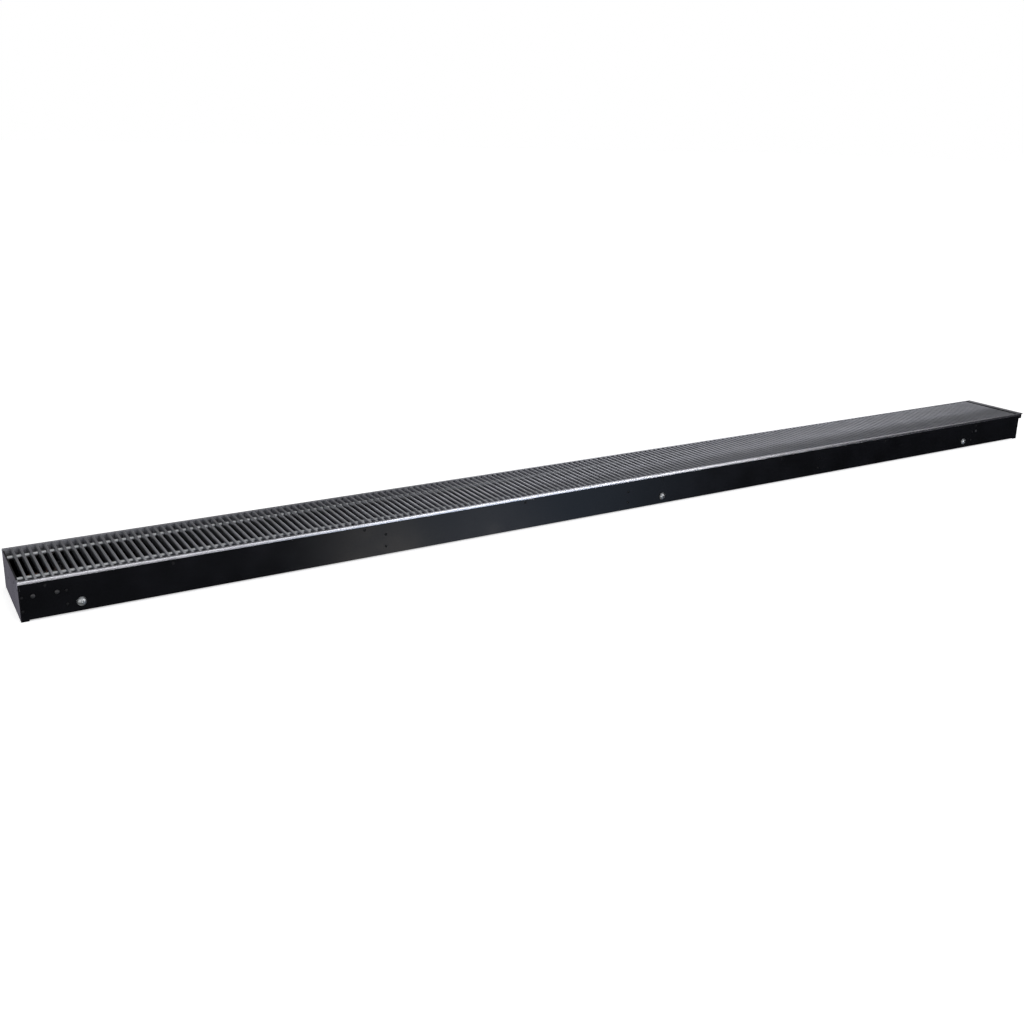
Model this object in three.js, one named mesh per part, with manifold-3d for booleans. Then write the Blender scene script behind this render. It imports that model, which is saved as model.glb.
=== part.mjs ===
// Trench convector heater: a folded steel trough that is let into a floor, closed by two end plates,
// edged with aluminium rails that carry a cross-slat grille, with a finned copper heat exchanger inside.
// Millimetres. X runs along the trough, Y across it (the front wall is at -Y), Z up from the ground.
// Inside the group x = 0 is the outer face of the left end plate; the group is then centred on its box.

import * as THREE from 'three';
import { mergeVertices } from 'three/addons/utils/BufferGeometryUtils.js';
import Module from 'manifold-3d';

const wasm = await Module();
wasm.setup();

// ---------------------------------------------------------------- driving dimensions

// Trough and end plates
const troughLength = 3000;      // over the outer faces of the two end plates
const troughWidth = 200;        // over the outer faces of the two side walls
const bodyHeight = 80;          // underside of the trough's floor to the top of the rails
const groundClearance = 2.5;    // ground to the underside of the trough's floor
const sheet = 1.5;              // trough and cross-brace sheet
const endSheet = 3;             // end plate sheet
const endTab = 12;              // length of the end plates' folded tabs along X
const endOverhang = 15;         // the right end's cap beyond its end plate
const endCapPast = 3;           // the cap beyond the black rim that carries it
const endRimDrop = 14;          // height of the folded rim under the overhang
const gap = 0.3;                // clearance between pieces that touch
const past = 1;                 // how far a cut runs past what it cuts, and a join into what it joins

// Edge rails and the grille's rest strips
const railLip = 6.5;            // height of the lip that shows over the wall
const railLipSheet = 1.7;
const railCap = 2;              // thickness of the rail's top
const railLeg = 2.5;            // thickness of the leg inside the wall
const ledgeWidth = 10;
const ledgeSheet = 2;
const stripHeight = 1.5;
const stripEndGap = 1;

// Grille
const slatPitch = 15.67;
const slatWidth = 5;
const slatHeight = 16;
const slatEndGap = 1.2;         // each end of a slat to its rail
const firstSlat = 17.8;         // middle of the first slat to the outer face of the left end plate
const lastSlatSpace = 16.5;     // least length left over between the last slat's middle and the right end
const rodInset = 31.1;          // middle of a rod to the ends of the slats
const rodDepth = 9;             // middle of a rod below the top of the slats
const spacerSize = 9.5;         // the spacers between the slats, square here
const grilleSections = 2;

// Anchor bolts, levelling brackets, screws and pads
const boltRadius = 4;
const boltHoleClearance = 0.6;
const boltHeadRadius = 9.5;
const boltHeadHeight = 5;
const boltFlange = 1.4;         // rim of the domed head
const boltHeight = 19.5;        // above the underside of the trough
const boltPastNut = 2;
const socketDepth = 2.4;        // hexagon socket in the domed head
const socketRadius = 2.9;
const nutAcrossFlats = 13;
const nutHeight = 6.5;
const bracketSheet = 3;
const bracketWidth = 30;
const bracketHeight = 34;
const bracketToe = 14;          // bracket beyond the levelling screw's axis
const nutSpace = 1;             // between the two weld nuts of a bracket
const boltPastFirstBrace = 3.5; // bracket to the folded end of the first brace
const boltPastMiddleBrace = 87.5;
const boltBeforeLastBrace = 15.5;
const screwLength = 38;
const screwSocket = 4;          // across flats and depth of the levelling screw's socket
const padRadius = 7;
const padHeight = 3.2;
const padAboveGround = 0.5;
const padHoleClearance = 1;

// Cross-braces
const braceCount = 5;
const firstBrace = 85;          // middle of the brace's folded ends, from the left end
const lastBrace = 230;          // the same, from the right end plate's outer face
const braceFold = 15;           // length of the folded ends along X

// Heat exchanger
const tubeRadius = 11;
const tubeWall = 1;
const tubeSpacing = 56;
const tubeClearance = 0.6;      // hole in a fin collar or saddle round its tube
const collarWall = 1.2;
const finsPerBlock = 10;
const finSheet = 1.2;
const finGround = 6;            // fins to the trough's floor and to the slats
const finFromBrace = 20;
const shaftClearance = 6;       // fins to the levelling brackets
const bendClearance = 11;       // return bend to the left end plate
const tubePastBrace = 30;
const saddleThickness = 10;
const saddleRim = 3;            // saddle round the edge of its notch
const saddleSide = 18;          // tube axis to the side of the notch
const notchBelowTube = 15;
const connectorLength = 40;
const connectorRadius = 13.2;   // threaded end
const unionNutRadius = 17;
const unionNutLength = 14;
const connectorBore = 8;
const ventBossRadius = 6;
const ventBodyRadius = 5;
const ventBodyHeight = 8;
const ventScrewRadius = 2.6;
const ventScrewHeight = 2.4;
const ventSlot = 0.8;

// Blanking plugs in the front wall and grommets in the right end plate
const plugRadius = 4.5;
const plugHeadHeight = 1.6;
const plugCrown = 0.7;          // share of the plug's radius and height where its dome turns over
const plugShankRadius = 2.6;
const plugDepth = 5;
const plugHoleClearance = 0.5;
const plugHeight = 47.5;        // above the underside of the trough
const plugFromTab = 10;
const plugBeforeFirstBrace = 17;
const plugPastLastBrace = 18;
const grommetBore = 11.5;
const grommetWall = 3;
const grommetFlange = 3;
const grommetFlangeSheet = 2;
const endHoleRadius = 3;        // two small holes in the left end plate, for wires
const endHoleFromFront = 55;
const endHoleFromRear = 63;
const highEndHole = 60;         // above the underside of the trough
const lowEndHole = 40;

const roundFaces = 12;          // flat faces round a bolt, tube or hole

// ---------------------------------------------------------------- levels and places that follow

const overallLength = troughLength + endOverhang;
const wallOuter = troughWidth / 2;
const wallInner = wallOuter - sheet;
const floorBottom = groundClearance;
const floorTop = floorBottom + sheet;
const railTop = floorBottom + bodyHeight;
const wallTop = railTop - railCap - gap;
const slatBottom = railTop - slatHeight;
const ledgeTop = slatBottom - gap - stripHeight - gap;
const legBottom = ledgeTop - ledgeSheet;
const legOuter = wallInner - gap;
const railInner = legOuter - railLeg;
const ledgeInner = railInner - ledgeWidth;
const leftInside = endSheet;
const rightInside = troughLength - endSheet;
const boltZ = floorBottom + boltHeight;
const plugZ = floorBottom + plugHeight;
const nutRadius = nutAcrossFlats / Math.sqrt(3);
const screwInset = bracketSheet + nutHeight + nutSpace + nutRadius;
const bracketReach = screwInset + bracketToe;
const bracketOuter = wallInner - gap;
const screwY = bracketOuter - screwInset;
const finHalfWidth = bracketOuter - bracketReach - shaftClearance;
const finBottom = floorTop + finGround;
const finTop = slatBottom - finGround;
const tubeZ = (finBottom + finTop) / 2;
const tubeY = tubeSpacing / 2;
const tubeStart = leftInside + bendClearance + tubeRadius + tubeY;
const braceBottom = floorTop + gap;
const braceTop = legBottom - gap;

const lastBraceX = troughLength - lastBrace;
const bracePitch = (lastBraceX - firstBrace) / (braceCount - 1);
const braceX = Array.from({ length: braceCount }, (_, k) => firstBrace + k * bracePitch);
const middleBraceX = braceX[Math.floor(braceCount / 2)];
const tubeEnd = lastBraceX + tubePastBrace;

const halfBoltPlace = braceFold / 2 + bracketWidth / 2;
const boltX = [
  firstBrace + halfBoltPlace + boltPastFirstBrace,
  middleBraceX + halfBoltPlace + boltPastMiddleBrace,
  lastBraceX - halfBoltPlace - boltBeforeLastBrace,
];

const slatCount = Math.floor((troughLength - firstSlat - lastSlatSpace) / slatPitch) + 1;
const slatHalfLength = railInner - slatEndGap;
const rodY = slatHalfLength - rodInset;
const rodZ = railTop - rodDepth;

const SIDES = [
  { name: 'front', sign: -1 },
  { name: 'rear', sign: 1 },
];

// ---------------------------------------------------------------- materials

const FINISHES = {
  blackPaint: { color: 0x14151a, roughness: 0.35, metalness: 0.1 },
  aluminium: { color: 0xb4b6ba, roughness: 0.35, metalness: 0.9 },
  slatAluminium: { color: 0x8e9096, roughness: 0.45, metalness: 0.85 },
  zinc: { color: 0xb9bdb8, roughness: 0.3, metalness: 0.9 },
  copper: { color: 0x8a4f34, roughness: 0.4, metalness: 0.9 },
  brass: { color: 0xa68a4c, roughness: 0.35, metalness: 0.9 },
  blackFin: { color: 0x1c1d20, roughness: 0.6, metalness: 0.2 },
  rubber: { color: 0x161616, roughness: 0.85, metalness: 0 },
  plastic: { color: 0x1d1e20, roughness: 0.5, metalness: 0 },
};

// ---------------------------------------------------------------- geometry helpers

// A box between two corners.
function box(x0, x1, y0, y1, z0, z1) {
  const geometry = new THREE.BoxGeometry(x1 - x0, y1 - y0, z1 - z0);
  return geometry.translate((x0 + x1) / 2, (y0 + y1) / 2, (z0 + z1) / 2);
}

// An outline in the YZ plane, given as [y, z] points, carried along X from x0 to x1.
function alongX(outline, x0, x1) {
  const shape = new THREE.Shape(outline.map(([y, z]) => new THREE.Vector2(y, z)));
  const geometry = new THREE.ExtrudeGeometry(shape, { depth: x1 - x0, bevelEnabled: false });
  const turn = new THREE.Matrix4().makeBasis(
    new THREE.Vector3(0, 1, 0),
    new THREE.Vector3(0, 0, 1),
    new THREE.Vector3(1, 0, 0),
  );
  return geometry.applyMatrix4(turn).translate(x0, 0, 0);
}

// The Y range of something between two distances from the centreline, on the front or the rear side.
function acrossWall(sign, near, far) {
  return sign > 0 ? [near, far] : [-far, -near];
}

// A round or many-sided bar along one axis, from start to end, its middle line through the other two.
function bar(axis, radius, start, end, middle, faces = roundFaces) {
  const geometry = new THREE.CylinderGeometry(radius, radius, end - start, faces);
  const centre = (start + end) / 2;
  if (axis === 'x') {
    return geometry.rotateZ(-Math.PI / 2).translate(centre, middle[0], middle[1]);
  }
  if (axis === 'y') {
    return geometry.translate(middle[0], centre, middle[1]);
  }
  return geometry.rotateX(Math.PI / 2).translate(middle[0], middle[1], centre);
}

// A turned piece: a profile of [radius, height] points spun about +Y.
function turned(profile, faces = roundFaces) {
  return new THREE.LatheGeometry(profile.map(([r, h]) => new THREE.Vector2(r, h)), faces);
}

// Six times the volume inside a triangle mesh, negative when its faces point inwards.
function signedVolume(position, index) {
  const a = new THREE.Vector3();
  const b = new THREE.Vector3();
  const c = new THREE.Vector3();
  let sum = 0;
  for (let i = 0; i < index.length; i += 3) {
    a.fromBufferAttribute(position, index[i]);
    b.fromBufferAttribute(position, index[i + 1]);
    c.fromBufferAttribute(position, index[i + 2]);
    sum += a.dot(b.cross(c));
  }
  return sum;
}

// A closed geometry as a solid that can be joined and cut, with its faces turned outwards.
function solid(geometry) {
  const bare = geometry.clone();
  bare.deleteAttribute('normal');
  bare.deleteAttribute('uv');
  const merged = mergeVertices(bare, 1e-4);
  const triangles = [];
  const index = merged.index.array;
  for (let i = 0; i < index.length; i += 3) {
    const [a, b, c] = [index[i], index[i + 1], index[i + 2]];
    if (a !== b && b !== c && c !== a) {
      triangles.push(a, b, c);
    }
  }
  const position = merged.getAttribute('position');
  if (signedVolume(position, triangles) < 0) {
    triangles.reverse();
  }
  return new wasm.Manifold(new wasm.Mesh({
    numProp: 3,
    vertProperties: new Float32Array(position.array),
    triVerts: new Uint32Array(triangles),
  }));
}

function join(geometries) {
  return geometries.map(solid).reduce((whole, piece) => whole.add(piece));
}

function cut(whole, geometries) {
  return geometries.map(solid).reduce((rest, piece) => rest.subtract(piece), whole);
}

// A joined or cut solid back as a geometry.
function toGeometry(manifold) {
  const mesh = manifold.getMesh();
  const geometry = new THREE.BufferGeometry();
  geometry.setAttribute('position', new THREE.BufferAttribute(new Float32Array(mesh.vertProperties), 3));
  geometry.setIndex(new THREE.BufferAttribute(new Uint32Array(mesh.triVerts), 1));
  geometry.computeVertexNormals();
  return geometry;
}

const heater = new THREE.Group();
heater.position.x = -overallLength / 2;

// Adds one piece, from a geometry or from a joined or cut solid, under its own name.
function addPiece(name, shape, finish) {
  const geometry = shape.isBufferGeometry ? toGeometry(solid(shape)) : toGeometry(shape);
  const mesh = new THREE.Mesh(geometry, new THREE.MeshStandardMaterial(FINISHES[finish]));
  mesh.name = name;
  heater.add(mesh);
}

// ---------------------------------------------------------------- trough and end plates

function addTrough() {
  const outline = [
    [-wallOuter, floorBottom], [wallOuter, floorBottom], [wallOuter, wallTop], [wallInner, wallTop],
    [wallInner, floorTop], [-wallInner, floorTop], [-wallInner, wallTop], [-wallOuter, wallTop],
  ];
  const channel = solid(alongX(outline, leftInside + gap, rightInside - gap));
  const holes = [];
  for (const x of boltX) {
    const hole = boltRadius + boltHoleClearance;
    holes.push(bar('y', hole, -wallOuter - past, wallOuter + past, [x, boltZ]));
    for (const { sign } of SIDES) {
      const well = padRadius + padHoleClearance;
      holes.push(bar('z', well, floorBottom - past, floorTop + past, [x, sign * screwY]));
    }
  }
  for (const x of plugPlaces()) {
    const hole = plugShankRadius + plugHoleClearance;
    holes.push(bar('y', hole, -wallOuter - past, -wallInner + past, [x, plugZ]));
  }
  addPiece('trough', cut(channel, holes), 'blackPaint');
}

// Tabs folded inwards from an end plate: two inside the walls and one under the floor.
function endTabs(x0, x1) {
  const outer = wallInner - gap;
  const inner = outer - endSheet;
  const top = legBottom - gap;
  return [
    box(x0, x1, -wallOuter, wallOuter, 0, floorBottom - gap),
    box(x0, x1, inner, outer, floorTop + gap, top),
    box(x0, x1, -outer, -inner, floorTop + gap, top),
  ];
}

function addEndPlates() {
  const leftPlate = join([
    box(0, endSheet, -wallOuter, wallOuter, 0, railTop),
    ...endTabs(endSheet / 2, endSheet + endTab),
  ]);
  const smallHoles = [
    [endHoleFromFront - wallOuter, floorBottom + highEndHole],
    [wallOuter - endHoleFromRear, floorBottom + lowEndHole],
  ];
  const drill = smallHoles.map(([y, z]) => bar('x', endHoleRadius, -past, endSheet + past, [y, z]));
  const notches = SIDES.flatMap(({ sign }) => {
    const web = acrossWall(sign, ledgeInner - gap, legOuter + gap);
    const cap = acrossWall(sign, legOuter, wallOuter + past);
    return [
      box(-past, endSheet + past, ...web, legBottom - gap, railTop + past),
      box(-past, endSheet + past, ...cap, wallTop, railTop + past),
    ];
  });
  addPiece('end_plate_left', cut(leftPlate, [...drill, ...notches]), 'blackPaint');

  const rimEnd = overallLength - endCapPast;
  const rimBottom = wallTop - endRimDrop;
  const rimSide = wallOuter - endSheet;
  const rightPlate = join([
    box(rightInside, troughLength, -wallOuter, wallOuter, 0, wallTop),
    ...endTabs(rightInside - endTab, rightInside + endSheet / 2),
    box(troughLength - past, rimEnd, -wallOuter, wallOuter, wallTop - endSheet, wallTop),
    box(rimEnd - endSheet, rimEnd, -wallOuter, wallOuter, rimBottom, wallTop),
    box(troughLength - past, rimEnd, rimSide, wallOuter, rimBottom, wallTop),
    box(troughLength - past, rimEnd, -wallOuter, -rimSide, rimBottom, wallTop),
  ]);
  const entry = grommetBore + grommetWall + gap;
  const entries = SIDES.map(({ sign }) =>
    bar('x', entry, rightInside - past, troughLength + past, [sign * tubeY, tubeZ]));
  addPiece('end_plate_right', cut(rightPlate, entries), 'blackPaint');
}

// ---------------------------------------------------------------- edge rails

// Each rail is closed by a web at its left end, which stands in a notch of the end plate. At the right
// end only its top and lip run on over the end plate, and a flat cap covers the overhang.
function addRails() {
  const lipOuter = wallOuter + gap + railLipSheet;
  const lipInner = wallOuter + gap;
  const lipBottom = railTop - railLip;
  const capBottom = railTop - railCap;
  const railOutline = [
    [lipOuter, railTop], [lipOuter, lipBottom], [lipInner, lipBottom], [lipInner, capBottom],
    [legOuter, capBottom], [legOuter, legBottom], [ledgeInner, legBottom],
    [ledgeInner, ledgeTop], [railInner, ledgeTop], [railInner, railTop],
  ];
  const topOutline = [
    [lipOuter, railTop], [lipOuter, lipBottom], [lipInner, lipBottom], [lipInner, capBottom],
    [railInner, capBottom], [railInner, railTop],
  ];
  const mirrored = (outline, sign) => outline.map(([y, z]) => [sign * y, z]);
  for (const { name, sign } of SIDES) {
    const across = (near, far) => acrossWall(sign, near, far);
    const rail = join([
      alongX(mirrored(railOutline, sign), 0, rightInside - gap),
      alongX(mirrored(topOutline, sign), rightInside - gap - past, troughLength),
      box(0, endSheet, ...across(ledgeInner, legOuter), legBottom, railTop),
    ]);
    addPiece(`edge_rail_${name}`, rail, 'aluminium');
    const ends = [leftInside + stripEndGap, rightInside - stripEndGap];
    const width = across(ledgeInner + gap, railInner - gap);
    const strip = box(...ends, ...width, ledgeTop + gap, slatBottom - gap);
    addPiece(`rest_strip_${name}`, strip, 'rubber');
  }
  const tongue = railInner - gap;
  const endRail = join([
    box(troughLength + gap, overallLength, -lipOuter, lipOuter, capBottom, railTop),
    box(rightInside, troughLength + gap + past, -tongue, tongue, capBottom, railTop),
  ]);
  addPiece('end_rail_right', endRail, 'aluminium');
}

// ---------------------------------------------------------------- grille

// Slats side by side on two rods, with a spacer in each gap. The sections meet in the middle of a spacer.
function addGrille() {
  const slatX = Array.from({ length: slatCount }, (_, k) => firstSlat + k * slatPitch);
  const perSection = Math.ceil(slatCount / grilleSections);
  for (let section = 0; section < grilleSections; section += 1) {
    const first = section * perSection;
    const slats = slatX.slice(first, first + perSection);
    const atLeft = section === 0;
    const atRight = section === grilleSections - 1;
    const from = atLeft ? leftInside + gap * 2 : slats[0] - slatPitch / 2 + gap / 2;
    const to = atRight ? rightInside - gap * 2 : slats.at(-1) + slatPitch / 2 - gap / 2;
    const half = spacerSize / 2;
    const rods = SIDES.map(({ sign }) =>
      box(from, to, sign * rodY - half, sign * rodY + half, rodZ - half, rodZ + half));
    const plates = slats.map((x) =>
      box(x - slatWidth / 2, x + slatWidth / 2, -slatHalfLength, slatHalfLength, slatBottom, railTop));
    addPiece(`grille_section_${section + 1}`, join([...rods, ...plates]), 'slatAluminium');
  }
}

// ---------------------------------------------------------------- cross-braces and saddles

function addBraces() {
  const outer = wallInner - gap;
  const notchHalf = tubeY + saddleSide;
  const notchBottom = tubeZ - notchBelowTube;
  braceX.forEach((x, k) => {
    const from = x - braceFold / 2;
    const plate = join([
      box(from, from + sheet, -outer, outer, braceBottom, braceTop),
      box(from, from + braceFold, outer - sheet, outer, braceBottom, braceTop),
      box(from, from + braceFold, -outer, sheet - outer, braceBottom, braceTop),
    ]);
    const notch = box(from - past, from + sheet + past, -notchHalf, notchHalf, notchBottom, braceTop + past);
    addPiece(`cross_brace_${k + 1}`, cut(plate, [notch]), 'blackPaint');

    const middle = from + sheet / 2;
    const start = middle - saddleThickness / 2;
    const end = middle + saddleThickness / 2;
    const rim = saddleRim + gap;
    const block = solid(box(start, end, -notchHalf - rim, notchHalf + rim, notchBottom - rim, tubeZ));
    const slit = [from - gap, from + sheet + gap];
    const grip = notchHalf - gap;
    const grooves = [
      box(...slit, grip, notchHalf + rim + past, notchBottom - rim - past, tubeZ + past),
      box(...slit, -notchHalf - rim - past, -grip, notchBottom - rim - past, tubeZ + past),
      box(...slit, -notchHalf, notchHalf, notchBottom - rim - past, notchBottom + gap),
    ];
    const cradles = SIDES.map(({ sign }) =>
      bar('x', tubeRadius + tubeClearance, start - past, end + past, [sign * tubeY, tubeZ]));
    addPiece(`tube_saddle_${k + 1}`, cut(block, [...grooves, ...cradles]), 'plastic');
  });
}

// ---------------------------------------------------------------- heat exchanger

function addTubes() {
  const names = { front: 'supply_tube', rear: 'return_tube' };
  for (const { name, sign } of SIDES) {
    const axis = [sign * tubeY, tubeZ];
    const tube = solid(bar('x', tubeRadius, tubeStart, tubeEnd, axis));
    const bore = bar('x', tubeRadius - tubeWall, tubeStart - past, tubeEnd + past, axis);
    addPiece(names[name], cut(tube, [bore]), 'copper');
  }
}

// A half turn of the same tube joins the two at the left end.
function addReturnBend() {
  const ring = new THREE.Shape();
  ring.absarc(0, 0, tubeRadius, 0, 2 * Math.PI);
  const bore = new THREE.Path();
  bore.absarc(0, 0, tubeRadius - tubeWall, 0, 2 * Math.PI, true);
  ring.holes.push(bore);
  class HalfTurn extends THREE.Curve {
    getPoint(t, target = new THREE.Vector3()) {
      const angle = Math.PI * (t + 0.5);
      return target.set(Math.cos(angle) * tubeY, Math.sin(angle) * tubeY, 0);
    }
  }
  const bend = new THREE.ExtrudeGeometry(ring, {
    steps: 10,
    curveSegments: 5,
    extrudePath: new HalfTurn(),
  });
  addPiece('return_bend', bend.translate(tubeStart - gap, 0, tubeZ), 'copper');
}

// Fins on two collars, one block in each bay between two braces.
function addFinBlocks() {
  const faces = 8;
  const flatToCorner = 1 / Math.cos(Math.PI / faces);
  const boreRadius = (tubeRadius + tubeClearance) * flatToCorner;
  for (let bay = 0; bay < braceCount - 1; bay += 1) {
    const from = braceX[bay] + finFromBrace;
    const to = braceX[bay + 1] - finFromBrace;
    const step = (to - from - finSheet) / (finsPerBlock - 1);
    const fins = Array.from({ length: finsPerBlock }, (_, k) => from + k * step).map((x) =>
      box(x, x + finSheet, -finHalfWidth, finHalfWidth, finBottom, finTop));
    const axes = SIDES.map(({ sign }) => [sign * tubeY, tubeZ]);
    const collars = axes.map((axis) => bar('x', boreRadius + collarWall, from, to, axis, faces));
    const bores = axes.map((axis) => bar('x', boreRadius, from - past, to + past, axis, faces));
    addPiece(`fin_block_${bay + 1}`, cut(join([...fins, ...collars]), bores), 'blackFin');
  }
}

// Threaded unions on the tubes' right ends; the return one carries the air vent.
function addConnectors() {
  const start = tubeEnd + gap;
  const end = start + connectorLength;
  const nutEnd = start + unionNutLength;
  const ventX = start + unionNutLength + (connectorLength - unionNutLength) / 2;
  const bossTop = tubeZ + unionNutRadius;
  const makeConnector = (y) => [
    bar('x', unionNutRadius, start, nutEnd, [y, tubeZ], 6),
    bar('x', connectorRadius, nutEnd - past, end, [y, tubeZ]),
  ];
  const bore = (y) => bar('x', connectorBore, start - past, end + past, [y, tubeZ]);
  addPiece('supply_connector', cut(join(makeConnector(-tubeY)), [bore(-tubeY)]), 'brass');
  const boss = bar('z', ventBossRadius, tubeZ + connectorBore + past, bossTop, [ventX, tubeY]);
  addPiece('return_connector', cut(join([...makeConnector(tubeY), boss]), [bore(tubeY)]), 'brass');

  const bodyStart = bossTop + gap;
  const bodyEnd = bodyStart + ventBodyHeight;
  addPiece('air_vent_body', bar('z', ventBodyRadius, bodyStart, bodyEnd, [ventX, tubeY], 6), 'brass');
  const screwStart = bodyEnd + gap;
  const screwEnd = screwStart + ventScrewHeight;
  const screw = solid(bar('z', ventScrewRadius, screwStart, screwEnd, [ventX, tubeY]));
  const slot = box(
    ventX - ventScrewRadius - past, ventX + ventScrewRadius + past,
    tubeY - ventSlot / 2, tubeY + ventSlot / 2,
    screwEnd - ventScrewHeight / 2, screwEnd + past,
  );
  addPiece('air_vent_screw', cut(screw, [slot]), 'zinc');
}

// ---------------------------------------------------------------- anchor bolts and levelling feet

// Domed bolt through the wall, with its head outside. The profile runs up the bolt's axis.
function anchorBolt(x, sign) {
  const shankLength = gap + sheet + gap + bracketSheet + nutHeight + boltPastNut;
  const crown = boltHeadHeight - boltFlange;
  const dome = [0.9, 0.7, 0.4].map((share) =>
    [boltHeadRadius * share, boltFlange + crown * Math.sqrt(1 - share * share)]);
  const profile = [
    [0, -shankLength], [boltRadius, -shankLength], [boltRadius, 0], [boltHeadRadius, 0],
    [boltHeadRadius, boltFlange], ...dome, [0, boltHeadHeight],
  ];
  const socket = bar('y', socketRadius, boltHeadHeight - socketDepth, boltHeadHeight + past, [0, 0], 6);
  const bolt = toGeometry(cut(solid(turned(profile)), [socket]));
  if (sign < 0) {
    bolt.rotateZ(Math.PI);
  }
  return bolt.translate(x, sign * (wallOuter + gap), boltZ);
}

// Angle bracket in the corner of the trough, with a weld nut on each leg.
function levellingBracket(x, sign) {
  const left = x - bracketWidth / 2;
  const right = x + bracketWidth / 2;
  const bottom = floorTop + gap;
  const legTop = bottom + bracketSheet;
  const across = (near, far) => acrossWall(sign, near, far);
  const wallLeg = across(bracketOuter - bracketSheet, bracketOuter);
  const floorLeg = across(bracketOuter - bracketReach, bracketOuter);
  const boltNut = across(bracketOuter - bracketSheet - nutHeight, bracketOuter - bracketSheet / 2);
  const hole = boltRadius + boltHoleClearance;
  const body = join([
    box(left, right, ...wallLeg, bottom, bottom + bracketHeight),
    box(left, right, ...floorLeg, bottom, legTop),
    bar('y', nutRadius, ...boltNut, [x, boltZ], 6),
    bar('z', nutRadius, legTop - bracketSheet / 2, legTop + nutHeight, [x, sign * screwY], 6),
  ]);
  return cut(body, [
    bar('y', hole, ...across(bracketOuter - bracketReach, bracketOuter + past), [x, boltZ]),
    bar('z', hole, bottom - past, legTop + nutHeight + past, [x, sign * screwY]),
  ]);
}

function levellingScrew(x, sign) {
  const start = padAboveGround + padHeight + gap;
  const end = start + screwLength;
  const axis = [x, sign * screwY];
  const socket = bar('z', screwSocket / Math.sqrt(3), end - screwSocket, end + past, axis, 6);
  return cut(solid(bar('z', boltRadius, start, end, axis)), [socket]);
}

function addFeet() {
  for (const { name, sign } of SIDES) {
    boltX.forEach((x, k) => {
      const place = `${name}_${k + 1}`;
      addPiece(`anchor_bolt_${place}`, anchorBolt(x, sign), 'zinc');
      addPiece(`levelling_bracket_${place}`, levellingBracket(x, sign), 'zinc');
      addPiece(`levelling_screw_${place}`, levellingScrew(x, sign), 'zinc');
      const padTop = padAboveGround + padHeight;
      const pad = bar('z', padRadius, padAboveGround, padTop, [x, sign * screwY]);
      addPiece(`levelling_pad_${place}`, pad, 'rubber');
    });
  }
}

// ---------------------------------------------------------------- plugs and grommets

function plugPlaces() {
  return [
    leftInside + endTab + plugFromTab,
    firstBrace - plugBeforeFirstBrace,
    lastBraceX + plugPastLastBrace,
  ];
}

function addPlugs() {
  const profile = [
    [0, -plugDepth], [plugShankRadius, -plugDepth], [plugShankRadius, 0], [plugRadius, 0],
    [plugRadius * plugCrown, plugHeadHeight * plugCrown], [0, plugHeadHeight],
  ];
  plugPlaces().forEach((x, k) => {
    const plug = turned(profile).rotateZ(Math.PI).translate(x, -wallOuter - gap, plugZ);
    addPiece(`blanking_plug_${k + 1}`, plug, 'plastic');
  });
}

// Rubber rings that line the two pipe entries; each grips the end plate between two flanges.
function addGrommets() {
  const body = grommetBore + grommetWall;
  const rim = body + grommetFlange;
  const half = endSheet / 2 + gap;
  const face = half + grommetFlangeSheet;
  const profile = [
    [grommetBore, -face], [rim, -face], [rim, -half], [body, -half],
    [body, half], [rim, half], [rim, face], [grommetBore, face], [grommetBore, -face],
  ];
  for (const { name, sign } of SIDES) {
    const ring = turned(profile).rotateZ(-Math.PI / 2);
    const piece = ring.translate(troughLength - endSheet / 2, sign * tubeY, tubeZ);
    addPiece(`pipe_grommet_${name}`, piece, 'rubber');
  }
}

addTrough();
addEndPlates();
addRails();
addGrille();
addBraces();
addTubes();
addReturnBend();
addFinBlocks();
addConnectors();
addFeet();
addPlugs();
addGrommets();

export default heater;
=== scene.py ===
"""Looks of a trench convector heater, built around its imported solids.

A folded steel trough that is let into a floor, powder coated in gloss black, is edged with natural
anodised aluminium rails. They carry a grille of cross slats, over a finned tube heat exchanger with
its unions, on six levelling feet. Sizes are in millimetres until Shape.build turns them to metres.
"""

import logging
import math
from dataclasses import dataclass
from dataclasses import field
from enum import Enum
from typing import Any
from typing import Sequence

import bmesh
import bpy
import numpy as np
from mathutils import Matrix
from mathutils import Vector


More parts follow.
